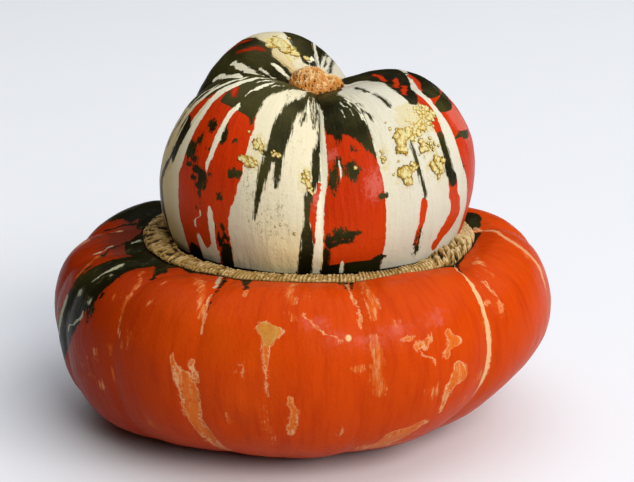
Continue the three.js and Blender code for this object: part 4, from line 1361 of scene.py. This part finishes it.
def wart_places():
    """Where each wart sits: the lone ones, and those strewn evenly over each crust."""
    chance = np.random.default_rng(5)
    places = list(LONE_WARTS)
    for turn, way, width, length, number, size in CRUSTS:
        for index in range(number):
            out = math.sqrt((index + 0.5) / number)
            angle = index * 2.4 + chance.uniform(-0.4, 0.4)
            across = out * math.sin(angle) * width / 2
            along = out * math.cos(angle) * length / 2
            one = size * chance.uniform(0.75, 1.2)
            places.append((turn + across / 1.3, way + along / (CROWN_LENGTH / MM), one))
    return places


def corky_warts(material):
    """All the warts, joined into one piece."""
    warts = [wart(*place, 11.3 * number) for number, place in enumerate(wart_places())]
    fresh()
    for one in warts:
        one.select_set(True)
    bpy.context.view_layer.objects.active = warts[0]
    bpy.ops.object.join()
    return finish_piece(bpy.context.active_object, "corky_warts", material)


def stem_scar(material):
    """The corky stub of the stem in its basin, ridged from the middle outwards."""
    rows = 48
    piece, turn, row = sphere_rows(160, rows)
    share = row / rows
    out = np.sin(np.pi * share)
    down = -np.cos(np.pi * share)
    ribs = 0.8 * np.cos(np.radians(turn * 5)) + roughness_field(point_at(turn, 9, 0, (0, 0)), 3, 2, 2.0)
    radius = (10.5 + ribs * 0.8) * out ** 0.45
    height = 8.5 - 3.4 * np.sign(down) * np.abs(down) ** 0.6
    points = point_at(turn, radius, height, LOWER_CENTRE)
    crust = 1 - 2 * np.abs(roughness_field(points, 3, 3, 9.0))
    points[:, 2] -= (crust - 0.5) * 0.8 * (down > 0)
    place_points(piece, points)
    store_crest(piece, crust * 0.9)
    return finish_piece(piece, "stem_scar", material)


# ---- Floor, light and camera

FLOOR_WIDTH = 14
FLOOR_PALE = shade("dadbe0")
FLOOR_DIM = shade("d7d8db")
WARM_WHITE = (1, 0.98, 0.95)
COOL_WHITE = (0.97, 0.98, 1)
ROOM_LOW = (1, 0.72, 0.45, 1)
ROOM_HIGH = (0.9, 0.95, 1, 1)


def studio():
    """A pale, level floor, wide enough to fill the view behind the fruit."""
    fresh()
    bpy.ops.mesh.primitive_plane_add(size=1)
    floor = bpy.context.active_object
    floor.name = "floor"
    floor.scale = (FLOOR_WIDTH, FLOOR_WIDTH, 1)
    bpy.ops.object.transform_apply(location=False, rotation=False, scale=True)
    material, tree, shader = new_material("pale_floor")
    coordinates = tree.nodes.new("ShaderNodeTexCoord")
    cloud = grain(tree, coordinates.outputs["Object"], 3, 2)
    feed(tree, Coat(tree, FLOOR_PALE).lay(FLOOR_DIM, cloud), shader.inputs["Base Color"])
    shader.inputs["Roughness"].default_value = 0.7
    shader.inputs["Specular IOR Level"].default_value = 0.2
    floor.data.materials.append(material)


def soft_light(name, aim, turn, elevation, distance, width, height, power, colour):
    """A soft rectangular light that faces the fruit from a turn and elevation in degrees."""
    light = bpy.data.lights.new(name, "AREA")
    light.shape = "RECTANGLE"
    light.size, light.size_y = width, height
    light.energy = power
    light.color = colour
    lamp = bpy.data.objects.new(name, light)
    bpy.context.scene.collection.objects.link(lamp)
    across, up = math.radians(turn), math.radians(elevation)
    level = math.cos(up)
    towards = Vector((math.sin(across) * level, -math.cos(across) * level, math.sin(up)))
    lamp.location = aim + towards * distance
    lamp.rotation_euler = towards.to_track_quat("Z", "Y").to_euler()


def lighting():
    """A soft window in front on the right, a skylight on the right, and a pale, dim room."""
    low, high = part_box(NODE)
    aim = (low + high) / 2
    soft_light("window", aim, turn=38, elevation=35, distance=7, width=6, height=3.6, power=575,
               colour=WARM_WHITE)
    soft_light("skylight", aim, turn=100, elevation=50, distance=5, width=2.6, height=2.6, power=48,
               colour=COOL_WHITE)
    world = bpy.data.worlds.new("room")
    bpy.context.scene.world = world
    world.use_nodes = True
    tree = world.node_tree
    # The room glows from its ceiling, warm at the edge of the glow and cool in the middle.
    direction = tree.nodes.new("ShaderNodeTexCoord").outputs["Generated"]
    facing = tree.nodes.new("ShaderNodeVectorMath")
    facing.operation = "DOT_PRODUCT"
    tree.links.new(direction, facing.inputs[0])
    facing.inputs[1].default_value = Vector((0.12, 0.12, 1)).normalized()
    glow = Value(tree, facing.outputs["Value"]).ease(0.55, 1)
    background = tree.nodes["Background"]
    feed(tree, Coat(tree, ROOM_LOW).lay(ROOM_HIGH, glow.ease(0, 0.3)), background.inputs["Color"])
    feed(tree, glow * 1.7 + 0.03, background.inputs["Strength"])
    bpy.context.scene.view_settings.view_transform = "Standard"


def camera():
    """A long lens, a little above the fruit and in front of it."""
    elevation, distance, seen_width = math.radians(16.5), 0.85, 0.317
    data = bpy.data.cameras.new("camera")
    data.sensor_width = 36
    data.lens = data.sensor_width * distance / seen_width
    data.shift_x, data.shift_y = 0.01104, -0.0142
    body = bpy.data.objects.new("camera", data)
    bpy.context.scene.collection.objects.link(body)
    target = Vector((*(SHIFT[:2] * MM), 0.09))
    body.location = target + distance * Vector((0, -math.cos(elevation), math.sin(elevation)))
    body.rotation_euler = (math.pi / 2 - elevation, 0, 0)
    bpy.context.scene.camera = body


crown_rind(crown_material())
lower_rind(lower_material())
cork_ring(cork_material("ring_cork", CORK_CLEFT, CORK_TAN, CORK_LIGHT, 160))
blossom_scar(cork_material("scar_cork", SCAR_CLEFT, SCAR_TAN, SCAR_LIGHT, 260))
corky_warts(cork_material("wart_cork", WART_OLIVE, WART_YELLOW, WART_LIGHT, 500, WART_RELIEF))
stem_scar(cork_material("stem_cork", CORK_CLEFT, CORK_TAN, CORK_LIGHT, 260))
studio()
lighting()
camera()
